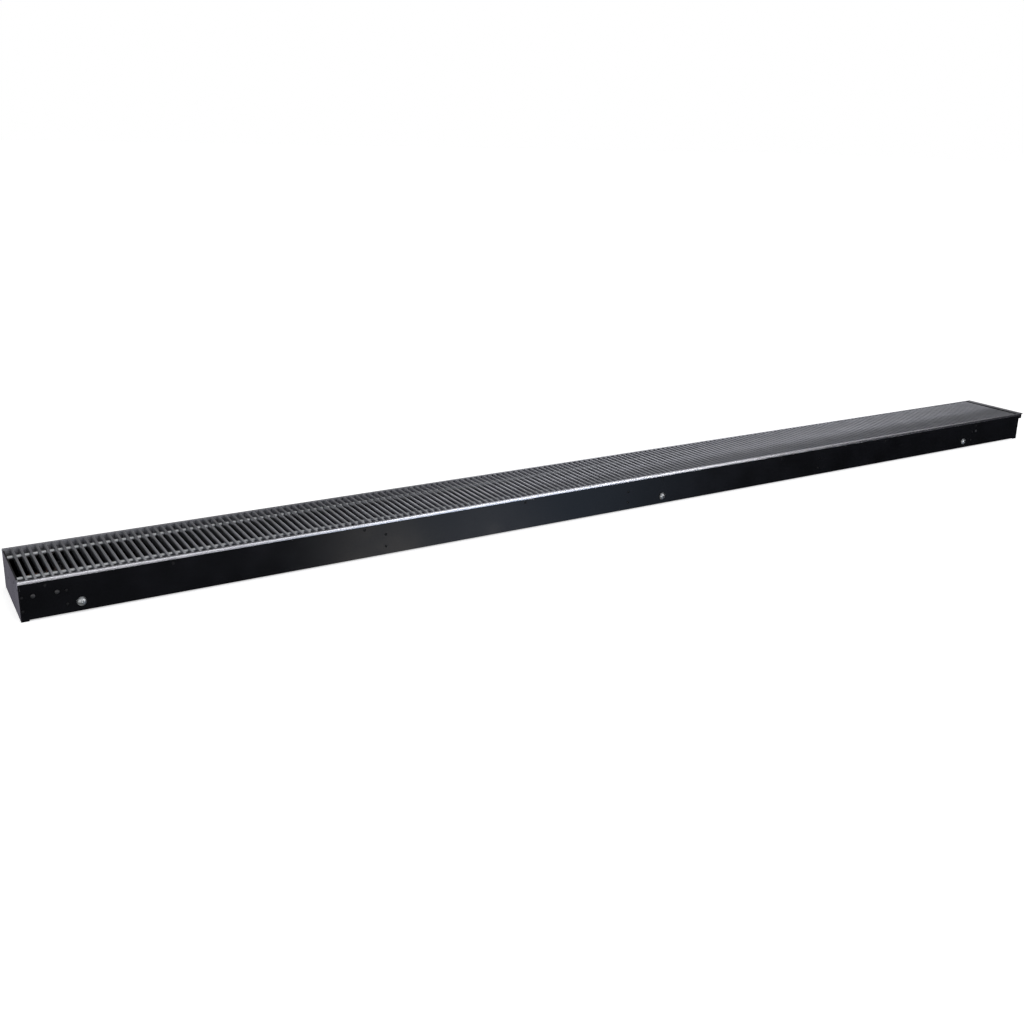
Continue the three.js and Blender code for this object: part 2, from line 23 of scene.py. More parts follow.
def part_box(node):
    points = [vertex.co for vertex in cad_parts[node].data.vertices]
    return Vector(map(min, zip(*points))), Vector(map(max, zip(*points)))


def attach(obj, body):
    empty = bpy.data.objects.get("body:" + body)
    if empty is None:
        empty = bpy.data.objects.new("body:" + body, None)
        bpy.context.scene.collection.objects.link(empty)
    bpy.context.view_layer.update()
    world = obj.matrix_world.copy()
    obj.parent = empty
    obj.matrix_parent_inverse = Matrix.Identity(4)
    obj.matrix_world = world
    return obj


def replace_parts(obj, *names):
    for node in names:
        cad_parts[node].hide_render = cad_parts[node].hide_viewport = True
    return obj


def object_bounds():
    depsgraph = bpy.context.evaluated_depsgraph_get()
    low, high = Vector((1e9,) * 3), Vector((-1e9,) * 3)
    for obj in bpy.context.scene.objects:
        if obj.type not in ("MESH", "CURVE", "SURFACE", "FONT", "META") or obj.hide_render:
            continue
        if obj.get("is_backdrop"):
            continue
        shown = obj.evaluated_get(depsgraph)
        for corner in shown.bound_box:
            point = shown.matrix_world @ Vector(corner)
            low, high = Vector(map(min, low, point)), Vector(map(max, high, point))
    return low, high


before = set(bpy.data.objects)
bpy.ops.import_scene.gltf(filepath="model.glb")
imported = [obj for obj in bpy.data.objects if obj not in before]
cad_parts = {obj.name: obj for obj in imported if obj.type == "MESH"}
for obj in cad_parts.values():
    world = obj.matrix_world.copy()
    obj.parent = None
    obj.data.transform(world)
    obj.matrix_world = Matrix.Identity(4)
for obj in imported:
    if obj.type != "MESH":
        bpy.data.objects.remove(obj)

MM = 0.001
LOG = logging.getLogger("trench_heater")

FIXED = "trough_body"           # the body that carries all that stays put
BRACES = range(1, 6)            # the numbers that the solids' names end in
FIN_BAYS = range(1, 5)

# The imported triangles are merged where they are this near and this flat. Sharper edges are eased.
WELD_DISTANCE = 0.001 * MM
FLAT_ANGLE = math.radians(0.5)
SHARP_ANGLE = math.radians(40)
TOUCHING = 1e-9                 # in millimetres

Array = np.ndarray
Pair = tuple[float, float]
Triple = tuple[float, float, float]
Piece = bpy.types.Object
Tree = bpy.types.NodeTree
Node = bpy.types.Node
Socket = bpy.types.NodeSocket


class Side(Enum):
    """The two long sides of the trough, with the sign of their Y."""

    FRONT = -1
    REAR = 1

    @property
    def label(self) -> str:
        """The side's name as the solids' names have it."""
        return self.name.lower()


class Cap(Enum):
    """How a skin's open ends are closed."""

    FACE = "one flat face"
    FAN = "triangles round the middle of the end ring"
    LOOP = "the last ring joins the first"


class Axis(Enum):
    """The direction that a shape runs in, as the places of (across, up, along)."""

    X = (1, 2, 0)
    Y = (2, 0, 1)
    Z = (0, 1, 2)


# ---------------------------------------------------------------- shapes from rings of corners


def signed_volume(points: Array, faces: Sequence[Array]) -> float:
    """Six times the volume inside a closed skin, below zero where its faces point inwards.

    Each face is cut into triangles from its first corner, and each triangle adds the box product of
    its three corners.

    Args:
        points: Corners, one row each.
        faces: Blocks of faces, each block with one number of corners.

    Returns:
        The sum over all faces.
    """
    total = 0.0
    for block in faces:
        first = points[block[:, 0]]
        for k in range(1, block.shape[1] - 1):
            turn = np.cross(points[block[:, k]], points[block[:, k + 1]])
            total += float(np.einsum("ij,ij->", first, turn))
    return total


@dataclass
class Shape:
    """A skin: corners in millimetres, and blocks of faces with one number of corners each."""

    points: Array
    faces: list[Array]

    def outwards(self) -> "Shape":
        """The same skin with its faces pointing out."""
        if signed_volume(self.points, self.faces) < 0:
            return Shape(self.points, [block[:, ::-1] for block in self.faces])
        return self

    def moved(self, x: float = 0.0, y: float = 0.0, z: float = 0.0) -> "Shape":
        """The same skin in another place."""
        return Shape(self.points + np.array([x, y, z]), self.faces)

    def on_side(self, side: Side) -> "Shape":
        """The same skin, made for the rear wall, on either side of the trough's middle plane."""
        return Shape(self.points * (1, side.value, 1), self.faces).outwards()

    def repeated(self, offsets: Array) -> "Shape":
        """Copies of the skin, each moved by one row of offsets.

        Args:
            offsets: One row of x, y, z for each copy.

        Returns:
            All the copies as one shape.
        """
        count = len(self.points)
        points = (self.points[None, :, :] + offsets[:, None, :]).reshape(-1, 3)
        steps = np.arange(len(offsets)) * count
        faces = [(block[None] + steps[:, None, None]).reshape(-1, block.shape[1])
                 for block in self.faces]
        return Shape(points, faces)

    def build(self, name: str, finish: "Finish", body: str, smooth: float = 35.0) -> Piece:
        """Makes the skin a piece of the heater.

        Args:
            name: The piece's name.
            finish: What it is made of.
            body: The body that it rides on.
            smooth: Edges sharper than this angle, in degrees, stay sharp.

        Returns:
            The new object, at the origin.
        """
        mesh = bpy.data.meshes.new(name)
        corners = np.concatenate([block.reshape(-1) for block in self.faces]).astype(np.int32)
        sizes = np.concatenate([np.full(len(block), block.shape[1]) for block in self.faces])
        starts = np.concatenate([[0], np.cumsum(sizes)[:-1]]).astype(np.int32)
        mesh.vertices.add(len(self.points))
        mesh.vertices.foreach_set("co", (self.points * MM).astype(np.float32).reshape(-1))
        mesh.loops.add(len(corners))
        mesh.loops.foreach_set("vertex_index", corners)
        mesh.polygons.add(len(sizes))
        mesh.polygons.foreach_set("loop_start", starts)
        mesh.update(calc_edges=True)
        mesh.validate()
        return place(mesh, name, finish, body, smooth)


def place(mesh: bpy.types.Mesh, name: str, finish: "Finish", body: str, smooth: float) -> Piece:
    """Puts a finished mesh into the scene as a piece.

    Args:
        mesh: The mesh, in metres.
        name: The piece's name.
        finish: What it is made of.
        body: The body that it rides on.
        smooth: Edges sharper than this angle, in degrees, stay sharp.

    Returns:
        The new object.
    """
    mesh.shade_smooth()
    mesh.set_sharp_from_angle(angle=math.radians(smooth))
    mesh.materials.clear()
    mesh.materials.append(finish.material())
    piece = bpy.data.objects.new(name, mesh)
    bpy.context.scene.collection.objects.link(piece)
    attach(piece, body)
    LOG.info("%s: %d faces in %s", name, len(mesh.polygons), finish.slot)
    return piece


def joined(shapes: Sequence[Shape]) -> Shape:
    """Several skins as one shape.

    Args:
        shapes: The skins, which keep their own corners.

    Returns:
        One shape that holds them all.
    """
    steps = np.cumsum([0] + [len(shape.points) for shape in shapes])
    faces = [block + step for shape, step in zip(shapes, steps) for block in shape.faces]
    return Shape(np.concatenate([shape.points for shape in shapes]), faces)


def loft(rings: Array, cap: Cap = Cap.FACE) -> Shape:
    """A skin over a row of closed rings.

    Corner j of ring i is rings[i, j]. Each pair of neighbouring rings is joined by one quad for
    each pair of neighbouring corners, and the ends are closed as cap says.

    Args:
        rings: Array of rings, corners and coordinates.
        cap: How the two open ends are closed.

    Returns:
        The closed skin, pointing out.
    """
    count, corners = rings.shape[:2]
    turn = np.arange(corners)
    row = np.arange(count if cap is Cap.LOOP else count - 1)
    low, near = np.meshgrid(row * corners, turn, indexing="ij")
    high, far = (low + corners) % (count * corners), (near + 1) % corners
    quads = np.stack([low + near, low + far, high + far, high + near], -1)
    points = rings.reshape(-1, 3)
    faces = [quads.reshape(-1, 4)]
    last = (count - 1) * corners
    if cap is Cap.FACE:
        faces.append(np.stack([turn[::-1], last + turn]))
    if cap is Cap.FAN:
        middle = len(points)
        points = np.concatenate([points, rings[[0, -1]].mean(axis=1)])
        after = (turn + 1) % corners
        faces.append(np.stack([after, turn, np.full(corners, middle)], -1))
        faces.append(np.stack([last + turn, last + after, np.full(corners, middle + 1)], -1))
    return Shape(points, faces).outwards()


def rounded(outline: Sequence[Pair], radius: float | Sequence[float], steps: int = 3) -> Array:
    """An outline with its corners rounded.

    At a corner with half angle h, the arc of radius r starts r / tan(h) along each edge and its
    middle lies r / sin(h) along the line that halves the corner.

    Args:
        outline: Corners of a closed outline.
        radius: One radius, or one for each corner.
        steps: Edges in each arc.

    Returns:
        The rounded outline, steps + 1 points for each corner.
    """
    corner = np.array(outline, float)
    back = np.roll(corner, 1, axis=0) - corner
    on = np.roll(corner, -1, axis=0) - corner
    back /= np.linalg.norm(back, axis=1, keepdims=True)
    on /= np.linalg.norm(on, axis=1, keepdims=True)
    half = np.arccos(np.clip((back * on).sum(axis=1), -1.0, 1.0)) / 2
    size = np.broadcast_to(np.asarray(radius, float), half.shape)
    inward = (back + on) / np.linalg.norm(back + on, axis=1, keepdims=True)
    middle = corner + inward * (size / np.sin(half))[:, None]
    start = corner + back * (size / np.tan(half))[:, None] - middle
    end = corner + on * (size / np.tan(half))[:, None] - middle
    first = np.arctan2(start[:, 1], start[:, 0])
    sweep = np.arctan2(end[:, 1], end[:, 0]) - first
    sweep = (sweep + math.pi) % (2 * math.pi) - math.pi
    angle = first[:, None] + sweep[:, None] * np.linspace(0, 1, steps + 1)
    arc = np.stack([np.cos(angle), np.sin(angle)], -1) * size[:, None, None]
    return (middle[:, None, :] + arc).reshape(-1, 2)


def carried(
    outline: Array,
    places: Sequence[float],
    axis: Axis = Axis.X,
    inset: Sequence[float] = (),
) -> Shape:
    """An outline carried along an axis.

    Ring k is the outline at places[k]. Where an inset is given, ring k is drawn in towards the
    middle of the outline's box by that much on each side, which chamfers the ends of a bar.

    Args:
        outline: Points of the outline, as (across, up).
        places: Where each ring stands along the axis.
        axis: The axis.
        inset: How far each ring is drawn in.

    Returns:
        The closed skin.
    """
    low, high = outline.min(axis=0), outline.max(axis=0)
    middle, half = (low + high) / 2, (high - low) / 2
    drawn = np.zeros(len(places)) if len(inset) == 0 else np.asarray(inset, float)
    scale = 1 - drawn[:, None] / half[None, :]
    rings = np.zeros((len(places), len(outline), 3))
    across, up, along = axis.value
    section = middle + (outline[None] - middle) * scale[:, None, :]
    rings[..., across] = section[..., 0]
    rings[..., up] = section[..., 1]
    rings[..., along] = np.asarray(places, float)[:, None]
    return loft(rings)


def around(radius: Array, height: Array, centre: Sequence[float], axis: Axis, cap: Cap) -> Shape:
    """A skin of rings round an axis, each corner with its own radius and height.

    Corner j of ring i stands at angle 2 pi j / corners, radius[i, j] from the axis and height[i, j]
    along it.

    Args:
        radius: One row for each ring, one column for each corner.
        height: The same shape, the place along the axis.
        centre: A point on the axis, where the height is nought.
        axis: The direction of the axis.
        cap: How the ends are closed.

    Returns:
        The closed skin.
    """
    angle = np.arange(radius.shape[1]) * 2 * math.pi / radius.shape[1]
    across, up, along = axis.value
    rings = np.zeros((*radius.shape, 3))
    rings[..., across] = radius * np.cos(angle)
    rings[..., up] = radius * np.sin(angle)
    rings[..., along] = height
    return loft(rings + np.asarray(centre, float), cap)


def turned(
    profile: Sequence[Pair],
    centre: Sequence[float],
    axis: Axis = Axis.Z,
    corners: int = 32,
    cap: Cap = Cap.FAN,
) -> Shape:
    """A turned piece: a profile spun about an axis.

    Args:
        profile: (radius, height) pairs, one for each ring.
        centre: A point on the axis, where the height is nought.
        axis: The direction of the axis.
        corners: Corners in each ring.
        cap: FAN for a solid piece, LOOP for a ring with a bore.

    Returns:
        The closed skin.
    """
    pairs = np.array(profile, float)
    radius = np.repeat(pairs[:, :1], corners, axis=1)
    height = np.repeat(pairs[:, 1:], corners, axis=1)
    return around(radius, height, centre, axis, cap)


def hexagon(across_corners: float, corners: int) -> Array:
    """Radii of a hexagon: its flat's distance over the cosine of the angle from that flat's middle.

    Args:
        across_corners: Radius of the hexagon's corners.
        corners: Number of radii, a multiple of 6.

    Returns:
        The radii.
    """
    angle = np.arange(corners) * 2 * math.pi / corners
    from_flat = (angle % (math.pi / 3)) - math.pi / 6
    return across_corners * math.cos(math.pi / 6) / np.cos(from_flat)


@dataclass(frozen=True)
class Thread:
    """A cut screw thread of one start, as rings whose radius follows the helix."""

    radius: float
    pitch: float
    depth: float
    rows_per_turn: int = 6

    def rings(self, start: float, end: float, corners: int) -> tuple[Array, Array]:
        """Radii and heights of the threaded length.

        The radius falls from the crest by the depth times a rounded wave of (height / pitch -
        angle / turn), and the wave fades out over the first and last pitch, as a die leaves it.

        Args:
            start: Height of the first ring.
            end: Height of the last ring.
            corners: Corners in each ring.

        Returns:
            Radii and heights, one row for each ring.
        """
        rows = max(3, round((end - start) / self.pitch * self.rows_per_turn))
        height = np.repeat(np.linspace(start, end, rows)[:, None], corners, axis=1)
        turn = np.arange(corners)[None, :] / corners
        wave = 0.5 + 0.5 * np.cos(2 * math.pi * (height / self.pitch - turn))
        fade = np.clip(np.minimum(height - start, end - height) / self.pitch, 0, 1)
        return self.radius - self.depth * wave * fade, height


def level_rings(*rings: tuple[Array, float]) -> tuple[Array, Array]:
    """Rings that each lie at one height, as Thread.rings gives them.

    Args:
        rings: The radii and the height of each ring.

    Returns:
        Radii and heights, one row for each ring.
    """
    radii = np.array([radius for radius, _ in rings])
    heights = np.array([[height] for _, height in rings], float)
    return radii, np.repeat(heights, radii.shape[1], axis=1)


def stacked(
    runs: Sequence[tuple[Array, Array]],
    centre: Sequence[float],
    axis: Axis,
    cap: Cap,
) -> Shape:
    """A skin over several runs of rings round an axis, one run after another.

    Args:
        runs: Radii and heights of each run.
        centre: A point on the axis, where the height is nought.
        axis: The direction of the axis.
        cap: How the ends are closed.

    Returns:
        The closed skin.
    """
    radius, height = (np.concatenate(parts) for parts in zip(*runs))
    return around(radius, height, centre, axis, cap)


def along_x(places: Array) -> Array:
    """Offsets of copies that stand at some places along X."""
    return np.stack([places, np.zeros(len(places)), np.zeros(len(places))], -1)


def box_mm(*nodes: str) -> tuple[Array, Array]:
    """The lowest and highest corners of some solids together, in millimetres.

    Args:
        nodes: Names of the solids.

    Returns:
        Lowest and highest corner.
    """
    corners = [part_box(node) for node in nodes]
    low = np.array([list(low) for low, _ in corners]).min(axis=0)
    high = np.array([list(high) for _, high in corners]).max(axis=0)
    return low / MM, high / MM


def centre_mm(node: str) -> Array:
    """The middle of a solid's box, in millimetres."""
    low, high = box_mm(node)
    return (low + high) / 2


# ---------------------------------------------------------------- finishes


def linear(colour: str) -> tuple[float, float, float, float]:
    """An sRGB hex colour as linear values.

    Args:
        colour: Such as #14151a.

    Returns:
        Red, green, blue and an alpha of 1.
    """
    levels = np.array([int(colour[k:k + 2], 16) / 255 for k in (1, 3, 5)])
    light = np.where(levels <= 0.04045, levels / 12.92, ((levels + 0.055) / 1.055) ** 2.4)
    return (float(light[0]), float(light[1]), float(light[2]), 1.0)


def noise_to(low: float, high: float) -> dict[str, float]:
    """Settings that spread a noise, which keeps mostly to 0.3 to 0.7, over two levels."""
    return {"From Min": 0.3, "From Max": 0.7, "To Min": low, "To Max": high}


def add_node(
    tree: Tree,
    kind: str,
    settings: dict[str | int, Any] | None = None,
    links: dict[str | int, Socket] | None = None,
) -> Node:
    """Adds a node with its settings and links.

    Args:
        tree: The node tree.
        kind: The node's type name.
        settings: Values by the name of a property, or by the name or number of an input.
        links: Sockets to link from, by the name or number of an input.

    Returns:
        The new node.
    """
    node = tree.nodes.new(kind)
    for name, value in (settings or {}).items():
        if isinstance(name, str) and hasattr(node, name):
            setattr(node, name, value)
        else:
            node.inputs[name].default_value = value
    for name, socket in (links or {}).items():
        tree.links.new(socket, node.inputs[name])
    return node


@dataclass(frozen=True)
class Pattern:
    """A noise with spots of a real size. A stretch below 1 draws them out along that axis."""

    size: float                 # width of the spots in millimetres
    detail: float = 2.0         # octaves of finer noise
    stretch: Triple = (1.0, 1.0, 1.0)


class Layer(Enum):
    """The pattern that a finish's roughness follows."""

    TONE = "the wide pattern, which is also in the colour"
    GRAIN = "the fine pattern, which is also in the relief"


@dataclass(frozen=True)
class Finish:
    """What a piece is made of: its colours, and a wide and a fine pattern laid into them."""

    name: str
    slot: str
    dark: str
    light: str
    metallic: float = 0.0
    roughness: Pair = (0.4, 0.5)
    specular: float = 0.5
    tone: Pattern = Pattern(50.0)
    tone_levels: Pair = (0.0, 1.0)
    grain: Pattern = Pattern(1.0)
    relief: Pair = (0.1, 0.05)  # how much of the grain's height shows, and that height
    sheen: Layer = Layer.TONE

    def material(self) -> bpy.types.Material:
        """The material, made once and shared by all pieces of this finish.

        Returns:
            The material.
        """
        found = bpy.data.materials.get(self.name)
        if found is not None:
            return found
        made = bpy.data.materials.new(self.name)
        made.use_nodes = True
        tree = made.node_tree
        tree.nodes.clear()
        shader = add_node(tree, "ShaderNodeBsdfPrincipled", {
            "Metallic": self.metallic,
            "Specular IOR Level": self.specular,
        })
        add_node(tree, "ShaderNodeOutputMaterial", links={"Surface": shader.outputs["BSDF"]})
        coords = add_node(tree, "ShaderNodeTexCoord").outputs["Object"]
        laid = []
        for pattern in (self.tone, self.grain):
            drawn = add_node(tree, "ShaderNodeMapping", {"Scale": pattern.stretch},
                             {"Vector": coords})
            noise = add_node(tree, "ShaderNodeTexNoise", {
                "Scale": 1 / (pattern.size * MM), "Detail": pattern.detail,
            }, {"Vector": drawn.outputs["Vector"]})
            laid.append(noise.outputs["Fac"])
        self.dress(tree, shader, *laid)
        return made

    def dress(self, tree: Tree, shader: Node, tone: Socket, grain: Socket) -> None:
        """Lays the two patterns into the shader.

        The colour is dark + (light - dark) x the tone's share. The roughness runs between its two
        levels with one of the patterns. The surface rises by the grain times the relief's height.

        Args:
            tree: The material's node tree.
            shader: Its shader.
            tone: The wide pattern.
            grain: The fine pattern.
        """
        colour = add_node(tree, "ShaderNodeMix", {
            "data_type": "RGBA", 6: linear(self.dark), 7: linear(self.light),
        }, {0: self.light_share(tree, shader, tone)})
        followed = tone if self.sheen is Layer.TONE else grain
        rough = add_node(tree, "ShaderNodeMapRange", noise_to(*self.roughness), {"Value": followed})
        shows, height = self.relief
        bump = add_node(tree, "ShaderNodeBump", {"Strength": shows, "Distance": height * MM},
                        {"Height": grain})
        tree.links.new(colour.outputs[2], shader.inputs["Base Color"])
        tree.links.new(rough.outputs["Result"], shader.inputs["Roughness"])
        tree.links.new(bump.outputs["Normal"], shader.inputs["Normal"])

    def light_share(self, tree: Tree, shader: Node, tone: Socket) -> Socket:
        """How much of the light colour shows.

        Args:
            tree: The material's node tree.
            shader: Its shader.
            tone: The wide pattern.

        Returns:
            The share, from nought to one.
        """
        share = add_node(tree, "ShaderNodeMapRange", noise_to(*self.tone_levels), {"Value": tone})
        return share.outputs["Result"]


@dataclass(frozen=True)
class PowderCoat(Finish):
    """Polyester powder baked on steel: a gloss with the faint waves of orange peel in it.

    Wide clouds of handling haze lie in the colour and the roughness, and the waves in the relief.
    """

    tone: Pattern = Pattern(90.0, 4.0)
    grain: Pattern = Pattern(2.2, 1.0)
    relief: Pair = (0.12, 0.06)


@dataclass(frozen=True)
class DrawnMetal(Finish):
    """Anodised aluminium: the press's or the brush's lines still show under a satin oxide layer.

    Long lines change the roughness and spread a highlight across them, and patches some
    centimetres wide change the tone a little. The real lines are some 0.1 mm wide, too fine to show
    in a picture, so they are drawn 0.9 mm wide.
    """

    tone: Pattern = Pattern(45.0)
    tone_levels: Pair = (0.15, 0.85)
    grain: Pattern = Pattern(0.9, 3.0, (0.02, 1.0, 1.0))
    relief: Pair = (0.15, 0.02)
    sheen: Layer = Layer.GRAIN
    drawn_along: Axis = Axis.X
    anisotropy: float = 0.8

    def dress(self, tree: Tree, shader: Node, tone: Socket, grain: Socket) -> None:
        """Adds the highlight's spread across the lines, round the axis that they follow.

        Args:
            tree: The material's node tree.
            shader: Its shader.
            tone: The patches.
            grain: The lines.
        """
        super().dress(tree, shader, tone, grain)
        shader.inputs["Anisotropic"].default_value = self.anisotropy
        across = add_node(tree, "ShaderNodeTangent", {
            "direction_type": "RADIAL", "axis": self.drawn_along.name,
        })
        tree.links.new(across.outputs["Tangent"], shader.inputs["Tangent"])


@dataclass(frozen=True)
class Plated(Finish):
    """Zinc or nickel plate on a turned or pressed piece: bright, with a fine grain and dull spots.

    The spots are a few millimetres wide and lie in the colour and the roughness. The real grain is
    finer than 0.1 mm and is drawn 0.7 mm wide, so that it shows.
    """

    metallic: float = 1.0
    roughness: Pair = (0.34, 0.46)
    tone: Pattern = Pattern(6.0, 4.0)
    grain: Pattern = Pattern(0.7)
    relief: Pair = (0.1, 0.03)


@dataclass(frozen=True)
class WornCoat(Finish):
    """A thin black coat sprayed over copper, which shows in patches where the coat is thin."""

    roughness: Pair = (0.5, 0.38)
    tone: Pattern = Pattern(16.0, 6.0)
    grain: Pattern = Pattern(1.2)
    relief: Pair = (0.15, 0.05)
    thin: Pair = (0.5, 0.68)    # the noise's levels from which and at which the copper is bare

    def light_share(self, tree: Tree, shader: Node, tone: Socket) -> Socket:
        """One noise says where the coat is thin: the colour and the metal show there.

        Args:
            tree: The material's node tree.
            shader: Its shader.
            tone: The noise.

        Returns:
            The share of bare copper, from nought to one.
        """
        covered, worn = self.thin
        bare = add_node(tree, "ShaderNodeMapRange", {
            "interpolation_type": "SMOOTHSTEP", "From Min": covered, "From Max": worn,
        }, {"Value": tone}).outputs["Result"]
        tree.links.new(bare, shader.inputs["Metallic"])
        return bare


@dataclass(frozen=True)
class Moulded(Finish):
    """Rubber, nylon or sprayed lacquer: matt, with a grain in the relief and the roughness.

    Dust lightens wide patches a little. The real grain of a mould's spark-eroded wall is finer than
    0.1 mm and is drawn 0.8 mm wide, so that it shows.
    """

    specular: float = 0.3
    tone: Pattern = Pattern(25.0, 3.0)
    grain: Pattern = Pattern(0.8, 3.0)
    relief: Pair = (0.3, 0.08)
    sheen: Layer = Layer.GRAIN


BLACK_COAT = PowderCoat("gloss_black_powder_coat", "black_paint", "#08090b", "#0e0f13",
                        roughness=(0.11, 0.17), specular=0.22)
# The walls' own gloss black paint on the end plates, made rougher and painted a touch lighter and
# bluer: a painted reflection of the grey-lilac light that the end faces catch at a glance.
END_COAT_PAINTED_LIGHTER = PowderCoat("end_black_coat_with_painted_reflection", "black_paint", "#0a0a0d", "#111116",
                      roughness=(0.2, 0.3), specular=0.22)
RAIL = DrawnMetal("natural_anodised_extrusion", "rail_aluminium", "#b4b5ba", "#c3c4c9",
                  metallic=1.0, roughness=(0.25, 0.32), anisotropy=0.85)
SLAT = DrawnMetal("natural_anodised_slat", "slat_aluminium", "#c6c7cd", "#d4d5da",
                  metallic=1.0, roughness=(0.28, 0.38), grain=Pattern(0.9, 3.0, (1.0, 0.02, 1.0)),
                  drawn_along=Axis.Y, anisotropy=0.3)
SPACER = DrawnMetal("satin_anodised_spacer", "slat_aluminium", "#b6b9b9", "#c9cbcc",
                    metallic=1.0, roughness=(0.34, 0.46), grain=Pattern(0.9, 3.0, (0.1, 1.0, 1.0)),
                    anisotropy=0.4)
ZINC = Plated("bright_zinc_plate", "zinc_plate", "#8f9293", "#aaadae")
BLACK_SCREW = Plated("blackened_steel", "zinc_plate", "#101113", "#1d1e20",
                     metallic=0.7, roughness=(0.38, 0.5))
NICKEL = Plated("nickel_plated_brass", "nickel_brass", "#bdb59f", "#d3ccb8", roughness=(0.18, 0.3))
COPPER = WornCoat("black_coated_copper", "tube_copper", "#141211", "#8b5238")
FIN = Moulded("black_coated_fin", "fin_aluminium", "#0b0c0d", "#15161a", roughness=(0.55, 0.7))
RUBBER = Moulded("moulded_rubber", "black_rubber", "#0b0b0b", "#171717", roughness=(0.75, 0.9))
NYLON = Moulded("moulded_nylon", "black_plastic", "#0e0f11", "#191a1d",
                roughness=(0.32, 0.46), specular=0.45)


def dress_solid(node: str, finish: Finish, edge: float) -> None:
    """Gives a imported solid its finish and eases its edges.

    The loose triangles are welded, flat areas become single faces and the sharp edges are rounded,
    all by modifiers, so the solid's own mesh stays as it was packed.

    Args:
        node: The solid's name.
        finish: What it is made of.
        edge: Radius of the eased edges in millimetres.
    """
    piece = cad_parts[node]
    mesh = piece.data
    if "custom_normal" in mesh.attributes:
        mesh.attributes.remove(mesh.attributes["custom_normal"])
    mesh.materials.clear()
    mesh.materials.append(finish.material())
    mesh.shade_flat()
    weld = piece.modifiers.new("weld", "WELD")
    weld.merge_threshold = WELD_DISTANCE
    flat = piece.modifiers.new("flat_areas", "DECIMATE")
    flat.decimate_type = "DISSOLVE"
    flat.angle_limit = FLAT_ANGLE
    ease = piece.modifiers.new("eased_edges", "BEVEL")
    ease.width = edge * MM
    ease.segments = 2
    ease.limit_method = "ANGLE"
    ease.angle_limit = SHARP_ANGLE
    ease.use_clamp_overlap = True
    LOG.info("%s: packed solid in %s", node, finish.slot)


# ---------------------------------------------------------------- trough


